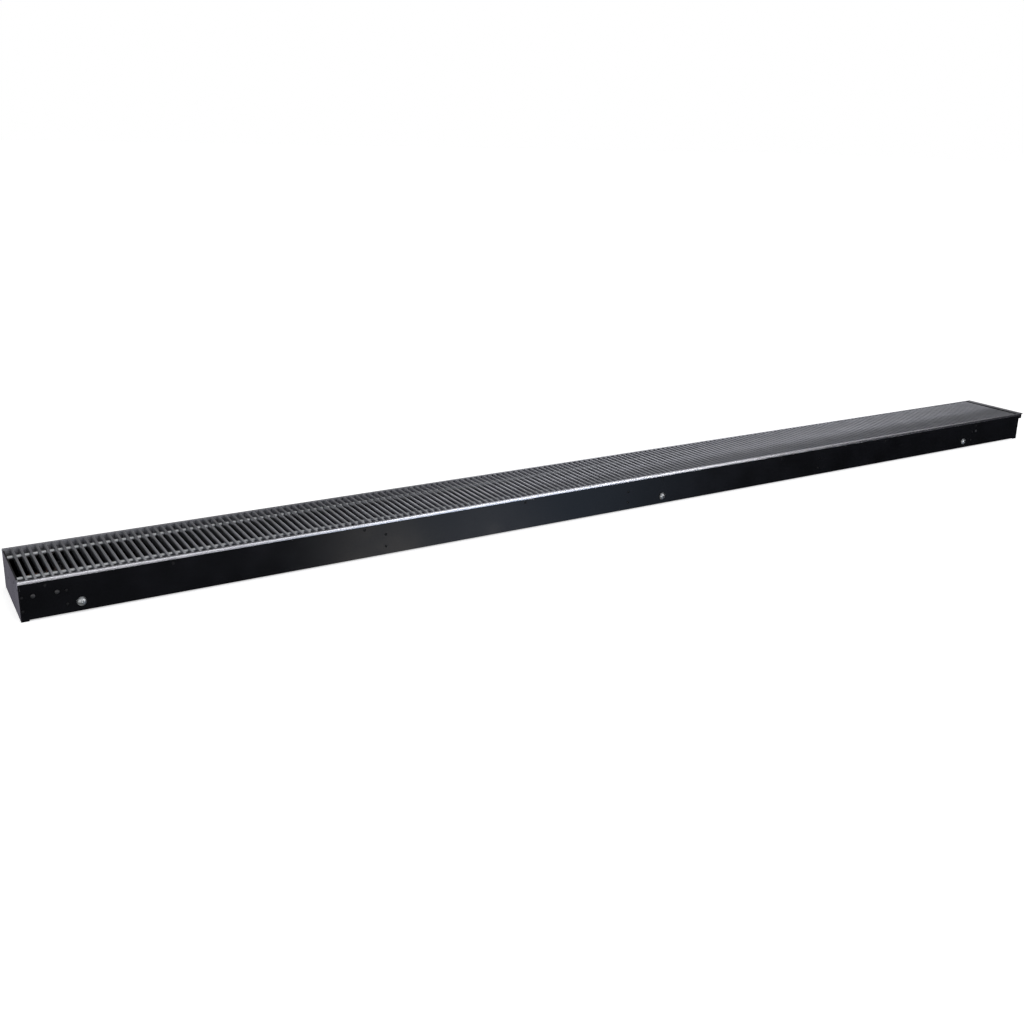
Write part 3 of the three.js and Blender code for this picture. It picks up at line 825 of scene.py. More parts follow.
@dataclass
class Trough:
    """The folded steel channel, with the rivets and screws in its long walls."""

    sheet: float = 1.5
    fold: float = 2.4           # outer radius of the two long folds
    fold_steps: int = 5
    top_share: float = 0.15     # rounding of the walls' top edges, as a share of the folds'
    long_edge: float = 100.0    # an edge that runs further than this along X belongs to a wall
    nearness: float = 0.1       # how near to a face an edge counts as lying on it
    rivet_first: float = 48.0   # from the outer face of the left end plate
    rivet_second: float = 289.0
    rivet_pitch: float = 416.0
    rivet_last: float = 150.0   # least distance of the last one to the right end
    rivet_below_top: float = 15.0
    screw_heights: Pair = (19.0, 47.0)   # above the trough's underside
    corner_screw: float = 5.0   # from each end of the trough
    head_corners: int = 20
    rivet_head: tuple[Pair, ...] = (     # (radius, height) from in the wall to the head's hollow
        (1.6, -2.0), (1.6, 0.0), (3.1, 0.0), (3.1, 0.35), (2.7, 0.85), (1.7, 1.15), (1.0, 1.0),
        (0.9, 0.2),
    )
    screw_head: tuple[Pair, ...] = (     # the same, to the bottom of the screw's recess
        (1.6, -2.0), (1.6, 0.0), (2.9, 0.0), (2.9, 0.5), (2.5, 1.05), (1.6, 1.4), (1.3, 1.4),
        (1.2, 0.7),
    )

    def rounding(self, a: Array, b: Array, bottom: float, top: float) -> float:
        """The share of the folds' radius that an edge is rounded by.

        A fold keeps the sheet's thickness: its inner radius is the outer one less the sheet.

        Args:
            a: One end of the edge.
            b: Its other end.
            bottom: Height of the channel's underside.
            top: Height of its walls.

        Returns:
            One outside a fold, less inside it and on the walls' top edges, and nought elsewhere.
        """
        if abs(a[0] - b[0]) <= self.long_edge:
            return 0.0
        highest = max(a[2], b[2])
        if highest < bottom + self.nearness:
            return 1.0
        if highest < bottom + self.sheet + self.nearness:
            return (self.fold - self.sheet) / self.fold
        return self.top_share if min(a[2], b[2]) > top - self.nearness else 0.0

    def folded(self) -> None:
        """The channel with its wells and holes, its long folds rounded and its edges eased."""
        low, high = box_mm("trough")
        mesh = bpy.data.meshes.new("folded_trough")
        work = bmesh.new()
        work.from_mesh(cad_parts["trough"].data)
        bmesh.ops.remove_doubles(work, verts=work.verts, dist=WELD_DISTANCE)
        bmesh.ops.dissolve_limit(work, angle_limit=FLAT_ANGLE, verts=work.verts, edges=work.edges)
        weight = work.edges.layers.float.new("bevel_weight_edge")
        for edge in work.edges:
            a, b = (np.array(v.co) / MM for v in edge.verts)
            edge[weight] = self.rounding(a, b, low[2], high[2])
        work.to_mesh(mesh)
        work.free()
        piece = place(mesh, "folded_trough", BLACK_COAT, FIXED, 30.0)
        fold = piece.modifiers.new("folds", "BEVEL")
        fold.limit_method = "WEIGHT"
        fold.width = self.fold * MM
        fold.segments = self.fold_steps
        flat = piece.modifiers.new("flat_walls", "WEIGHTED_NORMAL")
        flat.weight = 100
        flat.keep_sharp = True
        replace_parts(piece, "trough")

    def fasteners(self) -> None:
        """The rails' rivets, and the screws of the braces and end plates, in both walls."""
        left = box_mm("end_plate_left")[0][0]
        low, high = box_mm("trough")
        _, rail = box_mm("edge_rail_front")
        rivet = turned(self.rivet_head, (0, 0, 0), Axis.Y, self.head_corners)
        screw = turned(self.screw_head, (0, 0, 0), Axis.Y, self.head_corners)
        braces = np.array([box_mm(f"cross_brace_{k}") for k in BRACES])[:, :, 0].mean(axis=1)
        evenly = np.arange(left + self.rivet_second, rail[0] - self.rivet_last, self.rivet_pitch)
        rivets = [left + self.rivet_first, *evenly]
        pairs = [left + self.corner_screw, *braces, rail[0] - self.corner_screw]
        for side in Side:
            wall = low[1] if side is Side.FRONT else high[1]
            spots = [(x, wall, rail[2] - self.rivet_below_top) for x in rivets]
            heads = rivet.on_side(side).repeated(np.array(spots))
            heads.build(f"rail_rivets_{side.label}", BLACK_SCREW, FIXED)
            spots = [(x, wall, low[2] + z) for x in pairs for z in self.screw_heights]
            heads = screw.on_side(side).repeated(np.array(spots))
            heads.build(f"brace_screws_{side.label}", BLACK_SCREW, FIXED)

    def build(self) -> None:
        """Makes the channel and its small fasteners, and finishes the two end plates."""
        self.folded()
        self.fasteners()
        dress_solid("end_plate_left", END_COAT_PAINTED_LIGHTER, 0.3)
        dress_solid("end_plate_right", END_COAT_PAINTED_LIGHTER, 0.3)


# ---------------------------------------------------------------- rails


@dataclass
class EdgeRail:
    """The extruded aluminium rail on one long wall, with its rest strip."""

    side: Side
    lip_height: float = 6.5
    lip_sheet: float = 1.7
    cap: float = 2.0
    leg: float = 2.5
    ledge: float = 2.0
    web: float = 3.0            # thickness of the closed left end
    web_below_top: float = 0.3
    web_chamfer: Pair = (0.3, 0.25)     # along the rail, and in from each side
    strip_gap: float = 0.3
    run_on_top: float = 0.6     # width of the top that runs on over the right end plate
    shoulder: float = 0.6       # rounding of the outer top edge, and of the rest strip's top edges
    easing: float = 0.35        # rounding of the other outer edges
    nook: float = 0.2           # rounding under the cap
    ledge_nook: float = 0.5     # rounding between leg and ledge
    steps: int = 4              # edges in each rounding

    def leg_outer(self) -> float:
        """Outer face of the leg, which stands just inside the trough's rear wall."""
        return box_mm("trough")[1][1] - Trough.sheet - self.strip_gap

    def lip(self) -> list[Pair]:
        """The lip's corners.

        Returns:
            From the outer top edge down, round the lip and up to the cap's underside, as (y, z).
        """
        _, high = box_mm("edge_rail_rear")
        inner, bottom = high[1] - self.lip_sheet, high[2] - self.lip_height
        return [(high[1], high[2]), (high[1], bottom), (inner, bottom), (inner, high[2] - self.cap)]

    def section(self) -> Array:
        """The extrusion's outline, rounded, for the rear rail.

        Returns:
            Its points, as (y, z).
        """
        low, high = box_mm("edge_rail_rear")
        leg_outer, ledge_top = self.leg_outer(), low[2] + self.ledge
        leg_inner = leg_outer - self.leg
        outline = [
            *self.lip(), (leg_outer, high[2] - self.cap), (leg_outer, low[2]), (low[1], low[2]),
            (low[1], ledge_top), (leg_inner, ledge_top), (leg_inner, high[2]),
        ]
        ease, nook = self.easing, self.nook
        radii = [self.shoulder, ease, ease, nook, nook, ease, ease, ease, self.ledge_nook, ease]
        return rounded(outline, radii, self.steps)

    def over_end_plate(self) -> Array:
        """The outline of the short stretch over the right end plate, rounded.

        Returns:
            Its points, as (y, z).
        """
        _, high = box_mm("edge_rail_rear")
        inner = high[1] - self.run_on_top
        outline = [*self.lip(), (inner, high[2] - self.cap), (inner, high[2])]
        ease, nook = self.easing, self.nook
        return rounded(outline, [self.shoulder, ease, ease, nook, nook, ease], self.steps)

    def rest_strip(self) -> None:
        """The rubber strip on the ledge, its top edges well rounded."""
        node = f"rest_strip_{self.side.label}"
        low, high = box_mm(node)
        outline = [(low[1], low[2]), (high[1], low[2]), (high[1], high[2]), (low[1], high[2])]
        crown = rounded(outline, [self.nook, self.nook, self.shoulder, self.shoulder], self.steps)
        piece = carried(crown, [low[0], high[0]]).build(node + "_profile", RUBBER, FIXED, 40.0)
        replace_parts(piece, node)

    def build(self) -> None:
        """Carries the outlines along the wall, closes the left end and lays in the rest strip."""
        name = f"edge_rail_{self.side.label}"
        low, high = box_mm("edge_rail_rear")
        inside = box_mm("trough")[1][0]
        leg, top = self.leg_outer(), high[2] - self.web_below_top
        closed = rounded([(low[1], low[2]), (leg, low[2]), (leg, top), (low[1], top)], self.easing)
        chamfer, drawn_in = self.web_chamfer
        web = [low[0], low[0] + chamfer, low[0] + self.web]
        shape = joined([
            carried(self.section(), [low[0], inside]),
            carried(self.over_end_plate(), [inside, high[0]]),
            carried(closed, web, inset=[drawn_in, 0.0, 0.0]),
        ]).on_side(self.side)
        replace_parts(shape.build(name + "_extrusion", RAIL, FIXED, 30.0), name)
        self.rest_strip()


# ---------------------------------------------------------------- grille


@dataclass
class GrilleSection:
    """One section of the grille: slats on edge, and spacers between them on the lines of the two
    rods.
    """

    number: int
    slats: int = 95
    pitch: float = 15.67
    slat_width: float = 5.0
    slat_height: float = 16.0
    slat_chamfer: Pair = (0.4, 0.3)     # of its ends: along the slat, and in from each side
    top_easing: float = 0.9
    foot_easing: float = 0.5
    spacer_diameter: float = 9.5
    spacer_chamfer: float = 0.8
    spacer_corners: int = 16
    rod_from_middle: float = 63.4
    rod_below_top: float = 9.0
    meeting_gap: float = 0.3
    fit: float = 0.05           # between a spacer and its slats

    @property
    def node(self) -> str:
        """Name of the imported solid."""
        return f"grille_section_{self.number}"

    def middles(self) -> Array:
        """Middle of each slat along X, from the end where the two sections meet.

        Returns:
            The places, from left to right.
        """
        low, high = box_mm(self.node)
        inward = (self.pitch - self.meeting_gap) / 2
        if self.number == 1:
            return high[0] - inward - self.pitch * np.arange(self.slats)[::-1]
        return low[0] + inward + self.pitch * np.arange(self.slats)

    def slat(self) -> Shape:
        """One slat: a rounded bar carried across the trough, its ends chamfered.

        Returns:
            The slat, at the origin of X.
        """
        low, high = box_mm(self.node)
        half = self.slat_width / 2
        top, bottom = high[2], high[2] - self.slat_height
        radii = [self.foot_easing, self.foot_easing, self.top_easing, self.top_easing]
        outline = rounded([(bottom, -half), (bottom, half), (top, half), (top, -half)], radii, 2)
        chamfer, drawn_in = self.slat_chamfer
        places = [low[1], low[1] + chamfer, high[1] - chamfer, high[1]]
        return carried(outline, places, Axis.Y, [drawn_in, 0.0, 0.0, drawn_in])

    def spacer(self, length: float, y: float, z: float) -> Shape:
        """One spacer tube round the origin of X.

        Args:
            length: Its length.
            y: Place of its axis.
            z: Height of its axis.

        Returns:
            A turned piece with chamfered ends.
        """
        radius, chamfer = self.spacer_diameter / 2, self.spacer_chamfer
        ends = length / 2
        profile = [(radius - chamfer, -ends), (radius, chamfer - ends), (radius, ends - chamfer),
                   (radius - chamfer, ends)]
        return turned(profile, (0.0, y, z), Axis.X, self.spacer_corners, Cap.FACE)

    def build(self) -> None:
        """Lays out the slats, the spacers and the end spacers of the section."""
        low, high = box_mm(self.node)
        middles = self.middles()
        body = f"grille_{self.number}"
        slats = self.slat().repeated(along_x(middles)).build(f"{self.node}_slats", SLAT, body, 40.0)
        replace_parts(slats, self.node)

        between = along_x((middles[1:] + middles[:-1]) / 2)
        half = self.slat_width / 2 + self.fit
        ends = [(low[0], middles[0] - half), (middles[-1] + half, high[0])]
        rows = []
        for side in Side:
            y, z = side.value * self.rod_from_middle, high[2] - self.rod_below_top
            rows.append(self.spacer(self.pitch - 2 * half, y, z).repeated(between))
            rows += [self.spacer(b - a, y, z).moved((a + b) / 2) for a, b in ends]
        spacers = joined(rows).build(f"{self.node}_spacers", SPACER, body, 40.0)
        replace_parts(spacers, self.node)


# ---------------------------------------------------------------- heat exchanger


@dataclass
class HeatExchanger:
    """Two copper tubes with a return bend, black fins on them, and unions with an air vent."""

    tube_wall: float = 1.0
    corners: int = 32
    bend_steps: int = 24
    fin_pitch: float = 3.5
    fin_sheet: float = 0.3
    collar: float = 0.6         # a fin's drawn collar round the tube
    collar_overlap: float = 0.1     # how far it reaches into its fin, and stays off the tube
    union_corner: float = 17.0  # radius of the hexagon nut's corners
    union_bore: float = 8.0     # its radius
    union_nut: float = 14.0     # length of the nut
    union_corners: int = 48
    nut_chamfer: Pair = (1.2, 0.92)     # its length, and the share of the radius that it leaves
    thread_end: float = 1.0     # plain length at each end of the thread
    vent_boss: float = 6.0      # radius
    vent_boss_depth: float = 8.0
    vent_boss_easing: float = 0.5
    vent_corners: int = 36
    vent_chamfer: Pair = (0.5, 0.94)    # as the nut's
    thread: Thread = field(default_factory=lambda: Thread(13.2, 1.814, 1.1))

    def axes(self) -> dict[str, tuple[Array, float]]:
        """Where the two tubes run.

        Returns:
            Middle and radius of each tube, by its solid's name.
        """
        found = {}
        for node in ("supply_tube", "return_tube"):
            low, high = box_mm(node)
            found[node] = ((low + high) / 2, (high[2] - low[2]) / 2)
        return found

    def tubes(self) -> None:
        """Each tube is a ring of wall: out along the skin from end to end, back along the bore."""
        for node, (middle, radius) in self.axes().items():
            low, high = box_mm(node)
            bore = radius - self.tube_wall
            profile = [(radius, low[0]), (radius, high[0]), (bore, high[0]), (bore, low[0])]
            tube = turned(profile, (0.0, middle[1], middle[2]), Axis.X, self.corners, Cap.LOOP)
            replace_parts(tube.build(node + "_pipe", COPPER, FIXED, 40.0), node)

    def bend(self) -> None:
        """The return bend: circles round points of a half circle that joins the tubes' two axes."""
        _, high = box_mm("return_bend")
        middle, radius = self.axes()["supply_tube"]
        reach = abs(middle[1])
        angle = np.linspace(math.pi / 2, 3 * math.pi / 2, self.bend_steps + 1)[:, None]
        turn = np.arange(self.corners)[None, :] * 2 * math.pi / self.corners

        def skin(size: float) -> Array:
            """Rings of one radius: out by reach + size cos(turn), and up by size sin(turn).

            Args:
                size: The radius.

            Returns:
                One ring for each step along the half circle.
            """
            out = reach + size * np.cos(turn)
            rings = np.zeros((self.bend_steps + 1, self.corners, 3))
            rings[..., 0] = high[0] + out * np.cos(angle)
            rings[..., 1] = out * np.sin(angle)
            rings[..., 2] = middle[2] + size * np.sin(turn)
            return rings

        shape = loft(np.concatenate([skin(radius), skin(radius - self.tube_wall)[::-1]]), Cap.LOOP)
        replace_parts(shape.build("return_bend_pipe", COPPER, FIXED, 40.0), "return_bend")

    def fin(self, low: Array, high: Array, tube: Array, hole: float) -> Shape:
        """One fin at the origin of X: a thin plate with a round hole for each tube.

        Each half is a band between eight points on its hole and eight on its edge, at the same
        angles. The second half is the first one turned half round about the upright middle line.

        Args:
            low: Lowest corner of the fin block.
            high: Its highest corner.
            tube: Middle of the tube on the +Y side.
            hole: Radius of the holes.

        Returns:
            The plate, closed.
        """
        y = np.array([0.0, tube[1], high[1], high[1], high[1], tube[1], 0.0, 0.0])
        z = np.array([low[2], low[2], low[2], tube[2], high[2], high[2], high[2], tube[2]])
        angle = np.arctan2(z - tube[2], y - tube[1])
        edge = np.stack([np.zeros(8), y, z], -1)
        around_hole = [np.zeros(8), tube[1] + hole * np.cos(angle), tube[2] + hole * np.sin(angle)]
        inner = np.stack(around_hole, -1)
        step = np.array([self.fin_sheet / 2, 0.0, 0.0])
        rings = np.stack([inner - step, edge - step, edge + step, inner + step])
        half = loft(rings, Cap.LOOP)
        quads = half.faces[0]
        on_middle = (np.abs(half.points[quads][:, :, 1]) < TOUCHING).all(axis=1)
        half = Shape(half.points, [quads[~on_middle]])
        whole = joined([half, Shape(half.points * (-1, -1, 1), half.faces)])
        _, kept, merged = np.unique(np.round(whole.points, 6), axis=0, return_index=True,
                                    return_inverse=True)
        faces = [merged.reshape(-1)[block] for block in whole.faces]
        return Shape(whole.points[kept], faces).outwards()

    def fins(self) -> None:
        """A full stack of fins in each bay, on collars drawn from the fins round both tubes."""
        middle, radius = self.axes()["return_tube"]
        collar, inner = radius + self.collar, radius + self.collar_overlap
        for bay in FIN_BAYS:
            node = f"fin_block_{bay}"
            low, high = box_mm(node)
            first, last = low[0], high[0] - self.fin_sheet
            count = round((high[0] - low[0] - self.fin_sheet) / self.fin_pitch) + 1
            places = np.linspace(first, last, count) + self.fin_sheet / 2
            plate = self.fin(low, high, middle, collar - self.collar_overlap)
            profile = [(collar, low[0]), (collar, high[0]), (inner, high[0]), (inner, low[0])]
            sleeves = []
            for side in Side:
                axis_at = (0, side.value * middle[1], middle[2])
                sleeves.append(turned(profile, axis_at, Axis.X, self.corners, Cap.LOOP))
            stack = joined([plate.repeated(along_x(places)), *sleeves])
            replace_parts(stack.build(f"{node}_fins", FIN, FIXED, 30.0), node)

    def union(self, node: str) -> Shape:
        """A union: hexagon nut, threaded end and bore, closed as one ring of wall.

        Args:
            node: The connector's solid.

        Returns:
            The piece, in place.
        """
        low, high = box_mm(node)
        middle, _ = self.axes()["supply_tube" if node.startswith("supply") else "return_tube"]
        start, nut_end, end = low[0], low[0] + self.union_nut, high[0]
        length, share = self.nut_chamfer
        hexagonal = hexagon(self.union_corner, self.union_corners)
        chamfered = np.minimum(hexagonal, self.union_corner * share)
        plain = np.ones(self.union_corners)
        bore = plain * self.union_bore
        return stacked([
            level_rings(
                (bore, start), (chamfered, start), (hexagonal, start + length),
                (hexagonal, nut_end - length), (chamfered, nut_end),
                (plain * self.thread.radius, nut_end),
            ),
            self.thread.rings(nut_end + self.thread_end, end - self.thread_end, self.union_corners),
            level_rings((plain * (self.thread.radius - self.thread_end), end), (bore, end)),
        ], (0.0, middle[1], middle[2]), Axis.X, Cap.LOOP)

    def unions(self) -> None:
        """Both unions. The return one carries a boss for the air vent."""
        supply = self.union("supply_connector").build("supply_union", NICKEL, FIXED, 32.0)
        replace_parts(supply, "supply_connector")
        vent = centre_mm("air_vent_body")
        top = box_mm("return_connector")[1][2]
        easing = self.vent_boss_easing
        profile = [(self.vent_boss, -self.vent_boss_depth), (self.vent_boss, -easing),
                   (self.vent_boss - easing, 0.0)]
        boss = turned(profile, (vent[0], vent[1], top))
        back = joined([self.union("return_connector"), boss])
        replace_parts(back.build("return_union", NICKEL, FIXED, 32.0), "return_connector")

    def vent(self) -> None:
        """The air vent's hexagon body, chamfered at both ends, and its slotted screw."""
        low, high = box_mm("air_vent_body")
        middle = centre_mm("air_vent_body")
        corner = (high[1] - low[1]) / 2
        length, share = self.vent_chamfer
        hexagonal = hexagon(max(corner, (high[0] - low[0]) / 2), self.vent_corners)
        chamfered = np.minimum(hexagonal, corner * share)
        rings = level_rings((chamfered, low[2]), (hexagonal, low[2] + length),
                            (hexagonal, high[2] - length), (chamfered, high[2]))
        body = around(*rings, (middle[0], middle[1], 0.0), Axis.Z, Cap.FAN)
        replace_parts(body.build("air_vent_hexagon", NICKEL, FIXED, 32.0), "air_vent_body")
        dress_solid("air_vent_screw", ZINC, 0.15)

    def build(self) -> None:
        """Makes the tubes, the bend, the fins, the unions and what carries them."""
        self.tubes()
        self.bend()
        self.fins()
        self.unions()
        self.vent()
        for number in BRACES:
            dress_solid(f"cross_brace_{number}", BLACK_COAT, 0.3)
            dress_solid(f"tube_saddle_{number}", NYLON, 0.4)


# ---------------------------------------------------------------- feet


@dataclass(frozen=True)
class HexSocket:
    """A hexagon socket down from a head's top, which ends in a blunt cone."""

    corner: float               # radius of its corners
    depth: float
    mouth: float                # radius of the mouth over the socket's
    cone_depth: float
    sunk: float = 0.0           # how far the mouth lies below the top
    chamfer: float = 0.3
    cone_end: float = 0.4       # radius of the cone's end over the socket's

    def rings(self, top: float, corners: int) -> list[tuple[Array, float]]:
        """Its rings, from the mouth down.

        Args:
            top: Height of the head's top.
            corners: Corners in each ring.

        Returns:
            The radii and the height of each ring.
        """
        radius = hexagon(self.corner, corners)
        return [
            (radius * self.mouth, top - self.sunk), (radius, top - self.chamfer),
            (radius, top - self.depth),
            (radius * self.cone_end, top - self.depth - self.cone_depth),
        ]


@dataclass
class LevellingFoot:
    """An anchor bolt in the wall, the bracket behind it, its levelling screw and rubber pad."""

    side: Side
    number: int
    corners: int = 48
    thread: Thread = field(default_factory=lambda: Thread(4.0, 1.25, 0.65))
    bolt_lead: float = 0.6      # chamfer at the shank's end
    bolt_neck: float = 3.0      # plain length under the head
    head_depth: float = 5.0
    head_rim: float = 1.4       # height of the straight rim under the dome
    under_head: Pair = (0.25, 0.3)      # chamfer: in from the rim, and up from the seat
    dome_inset: float = 0.3
    dome_drop: float = 0.2      # from the dome's foot down to the rim
    dome_angle: float = 1.15    # where the dome ends, in radians up from its foot
    dome_share: float = 0.97    # height of that end, as a share of the way to the head's top
    dome_steps: int = 7
    bolt_socket: HexSocket = HexSocket(2.9, 2.4, 1.06, 0.5, sunk=0.02)
    screw_lead: Pair = (0.7, 0.5)       # chamfer at the foot: in from the crest, and its length
    screw_top: float = 0.6
    screw_socket: HexSocket = HexSocket(2.31, 4.0, 1.08, 0.6)
    pad_edge: tuple[Pair, ...] = ((0.7, 0.0), (0.2, 0.2), (0.0, 0.6))   # (in from the side, height)
    pad_groove: Pair = (0.35, 0.1)      # its depth, and half its width over the pad's height
    pad_corners: int = 40

    @property
    def place(self) -> str:
        """The end of this foot's names."""
        return f"{self.side.label}_{self.number}"

    def bolt(self) -> Shape:
        """The domed bolt with a hexagon socket, its axis along Y and its head outside the wall.

        Rings run from the shank's end along its thread, out under the head, over the rim and the
        dome as radius R cos(a) and height h sin(a), and down into the socket.

        Returns:
            The bolt, in place.
        """
        low, high = box_mm(f"anchor_bolt_{self.place}")
        middle = (low + high) / 2
        head = (high[2] - low[2]) / 2
        length = high[1] - low[1]
        seat = length - self.head_depth
        plain = np.ones(self.corners)
        inset, rise = self.under_head
        neck = [
            (plain * self.thread.radius, seat), (plain * (head - inset), seat),
            (plain * head, seat + rise), (plain * head, seat + self.head_rim - self.dome_drop),
        ]
        angle = np.linspace(0.0, self.dome_angle, self.dome_steps + 1)
        radii = (head - self.dome_inset) * np.cos(angle)
        rise = (self.head_depth - self.head_rim) * np.sin(angle) / math.sin(self.dome_angle)
        heights = seat + self.head_rim + rise * self.dome_share
        dome = [(plain * radius, height) for radius, height in zip(radii, heights)]
        shape = stacked([
            level_rings((plain * (self.thread.radius - self.bolt_lead), 0.0)),
            self.thread.rings(self.bolt_lead, seat - self.bolt_neck, self.corners),
            level_rings(*neck, *dome, *self.bolt_socket.rings(length, self.corners)),
        ], (middle[0], 0.0, middle[2]), Axis.Y, Cap.FAN)
        if self.side is Side.FRONT:
            turned_round = shape.points * (1, -1, 1) + (0, low[1] + length, 0)
            return Shape(turned_round, shape.faces).outwards()
        return shape.moved(y=low[1])

    def levelling_screw(self) -> Shape:
        """The socket set screw: a lead chamfer, the thread, a top chamfer and the hexagon socket.

        Returns:
            The screw, in place.
        """
        low, high = box_mm(f"levelling_screw_{self.place}")
        middle = (low + high) / 2
        length = high[2] - low[2]
        plain = np.ones(self.corners)
        inset, lead = self.screw_lead
        return stacked([
            level_rings((plain * (self.thread.radius - inset), 0.0)),
            self.thread.rings(lead, length - lead, self.corners),
            level_rings((plain * (self.thread.radius - self.screw_top), length),
                        *self.screw_socket.rings(length, self.corners)),
        ], (middle[0], middle[1], low[2]), Axis.Z, Cap.FAN)

    def pad(self) -> Shape:
        """The rubber pad: a turned puck with rounded edges and a shallow groove round it.

        Returns:
            The pad, in place.
        """
        low, high = box_mm(f"levelling_pad_{self.place}")
        middle = (low + high) / 2
        radius, height = (high[0] - low[0]) / 2, high[2] - low[2]
        depth, half = self.pad_groove
        profile = [
            *[(radius - inset, rise) for inset, rise in self.pad_edge],
            (radius, height * (0.5 - half)), (radius - depth, height * 0.5),
            (radius, height * (0.5 + half)),
            *[(radius - inset, height - rise) for inset, rise in reversed(self.pad_edge)],
        ]
        return turned(profile, (middle[0], middle[1], low[2]), Axis.Z, self.pad_corners)

    def build(self) -> None:
        """Makes the four pieces, each on the body that it moves with."""
        place = self.place
        bolt = self.bolt().build(f"domed_bolt_{place}", ZINC, FIXED, 32.0)
        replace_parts(bolt, f"anchor_bolt_{place}")
        dress_solid(f"levelling_bracket_{place}", ZINC, 0.3)
        screw = self.levelling_screw().build(f"set_screw_{place}", ZINC, f"screw_{place}", 32.0)
        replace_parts(screw, f"levelling_screw_{place}")
        pad = self.pad().build(f"rubber_foot_{place}", RUBBER, f"foot_{place}", 50.0)
        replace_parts(pad, f"levelling_pad_{place}")


# ---------------------------------------------------------------- plugs and grommets


@dataclass
class Stoppers:
    """The blanking plugs in the front wall and the grommets in the right end plate."""

    plug_length: float = 5.0    # inside the wall
    plug_shank: float = 2.6     # radius
    plug_lead: Pair = (0.5, 0.6)        # chamfer at its end: in from the side, and along
    plug_head: float = 1.6      # height
    plug_rim: Pair = (0.15, 0.3)        # edge of the head: in from the side, and its height
    dome_steps: int = 8
    plug_corners: int = 36
    plate_gap: float = 0.3      # between a grommet's flanges and the plate
    grommet_bore: float = 11.5  # radius
    groove: float = 3.0         # depth, in from the flanges' rim
    grommet_corners: int = 48
    flange_easing: float = 0.6
    flange_nook: float = 0.4    # rounding of a flange's edge beside the plate
    groove_nook: float = 0.2    # rounding at the bottom of the groove

    def plugs(self) -> None:
        """Nylon plugs turned about Y, their dome outwards as radius R cos(a), height h sin(a)."""
        for number in (1, 2, 3):
            node = f"blanking_plug_{number}"
            low, high = box_mm(node)
            middle = (low + high) / 2
            radius, shank = (high[0] - low[0]) / 2, self.plug_shank
            inset, lead = self.plug_lead
            edge, rim = self.plug_rim
            angle = np.linspace(0.0, math.pi / 2, self.dome_steps + 1)[:-1]
            crown = self.plug_head - rim
            dome = [(radius * math.cos(a), -(rim + crown * math.sin(a))) for a in angle]
            profile = [(shank - inset, self.plug_length), (shank, self.plug_length - lead),
                       (shank, 0.0), (radius - edge, 0.0), *dome]
            seat = low[1] + self.plug_head
            shape = turned(profile, (middle[0], seat, middle[2]), Axis.Y, self.plug_corners)
            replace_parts(shape.build(f"domed_plug_{number}", NYLON, FIXED, 50.0), node)

    def grommets(self) -> None:
        """Rubber rings with two flanges and a groove for the plate, all edges rounded."""
        inside = box_mm("trough")[1][0]
        outside = box_mm("edge_rail_front")[1][0] + self.plate_gap
        edge, nook, deep = self.flange_easing, self.flange_nook, self.groove_nook
        for side in Side:
            node = f"pipe_grommet_{side.label}"
            low, high = box_mm(node)
            middle = (low + high) / 2
            rim, bore = (high[2] - low[2]) / 2, self.grommet_bore
            body = rim - self.groove
            outline = [(bore, low[0]), (rim, low[0]), (rim, inside), (body, inside),
                       (body, outside), (rim, outside), (rim, high[0]), (bore, high[0])]
            profile = rounded(outline, [edge, edge, nook, deep, deep, nook, edge, edge])
            ring = turned([tuple(pair) for pair in profile], (0.0, middle[1], middle[2]), Axis.X,
                          self.grommet_corners, Cap.LOOP)
            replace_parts(ring.build(f"grommet_{side.label}", RUBBER, FIXED, 50.0), node)

    def build(self) -> None:
        """Makes the plugs and the grommets."""
        self.plugs()
        self.grommets()


# ---------------------------------------------------------------- studio and camera


@dataclass(frozen=True)
class Panel:
    """A soft panel or dark flag round the object, far away, by the directions that it fills.

    Azimuth runs from the front, -Y, towards +X, and elevation up from level, both in degrees.
    """

    name: str
    azimuth: float
    elevation: float
    half_width: float
    half_height: float
    soft: float                 # width of its edge
    colour: Triple

    def cover(self, tree: Tree, way: Socket, height: Socket) -> Socket:
        """How much of each direction the panel fills.

        The azimuth from the panel's middle is the arc tangent of the direction's part across the
        panel over its part towards it. Past the half width it fades over the soft edge, and the
        same goes for the elevation. The two shares are multiplied.

        Args:
            tree: The world's node tree.
            way: The direction.
            height: Its elevation in radians.

        Returns:
            The share, from nought to one.
        """
        turn = math.radians(self.azimuth)
        parts = []
        for axis in ((math.cos(turn), math.sin(turn), 0), (math.sin(turn), -math.cos(turn), 0)):
            part = add_node(tree, "ShaderNodeVectorMath", {
                "operation": "DOT_PRODUCT", 1: axis,
            }, {0: way})
            parts.append(part.outputs["Value"])
        sideways = add_node(tree, "ShaderNodeMath", {"operation": "ARCTAN2"},
                            {0: parts[0], 1: parts[1]})
        upwards = add_node(tree, "ShaderNodeMath", {
            "operation": "SUBTRACT", 1: math.radians(self.elevation),
        }, {0: height})
        shares = []
        for angle, half in ((sideways, self.half_width), (upwards, self.half_height)):
            size = add_node(tree, "ShaderNodeMath", {"operation": "ABSOLUTE"},
                            {0: angle.outputs["Value"]})
            shares.append(add_node(tree, "ShaderNodeMapRange", {
                "interpolation_type": "SMOOTHSTEP",
                "From Min": math.radians(half), "From Max": math.radians(half + self.soft),
                "To Min": 1.0, "To Max": 0.0,
            }, {"Value": size.outputs["Value"]}).outputs["Result"])
        both = add_node(tree, "ShaderNodeMath", {"operation": "MULTIPLY"},
                        {0: shares[0], 1: shares[1]})
        return both.outputs["Value"]


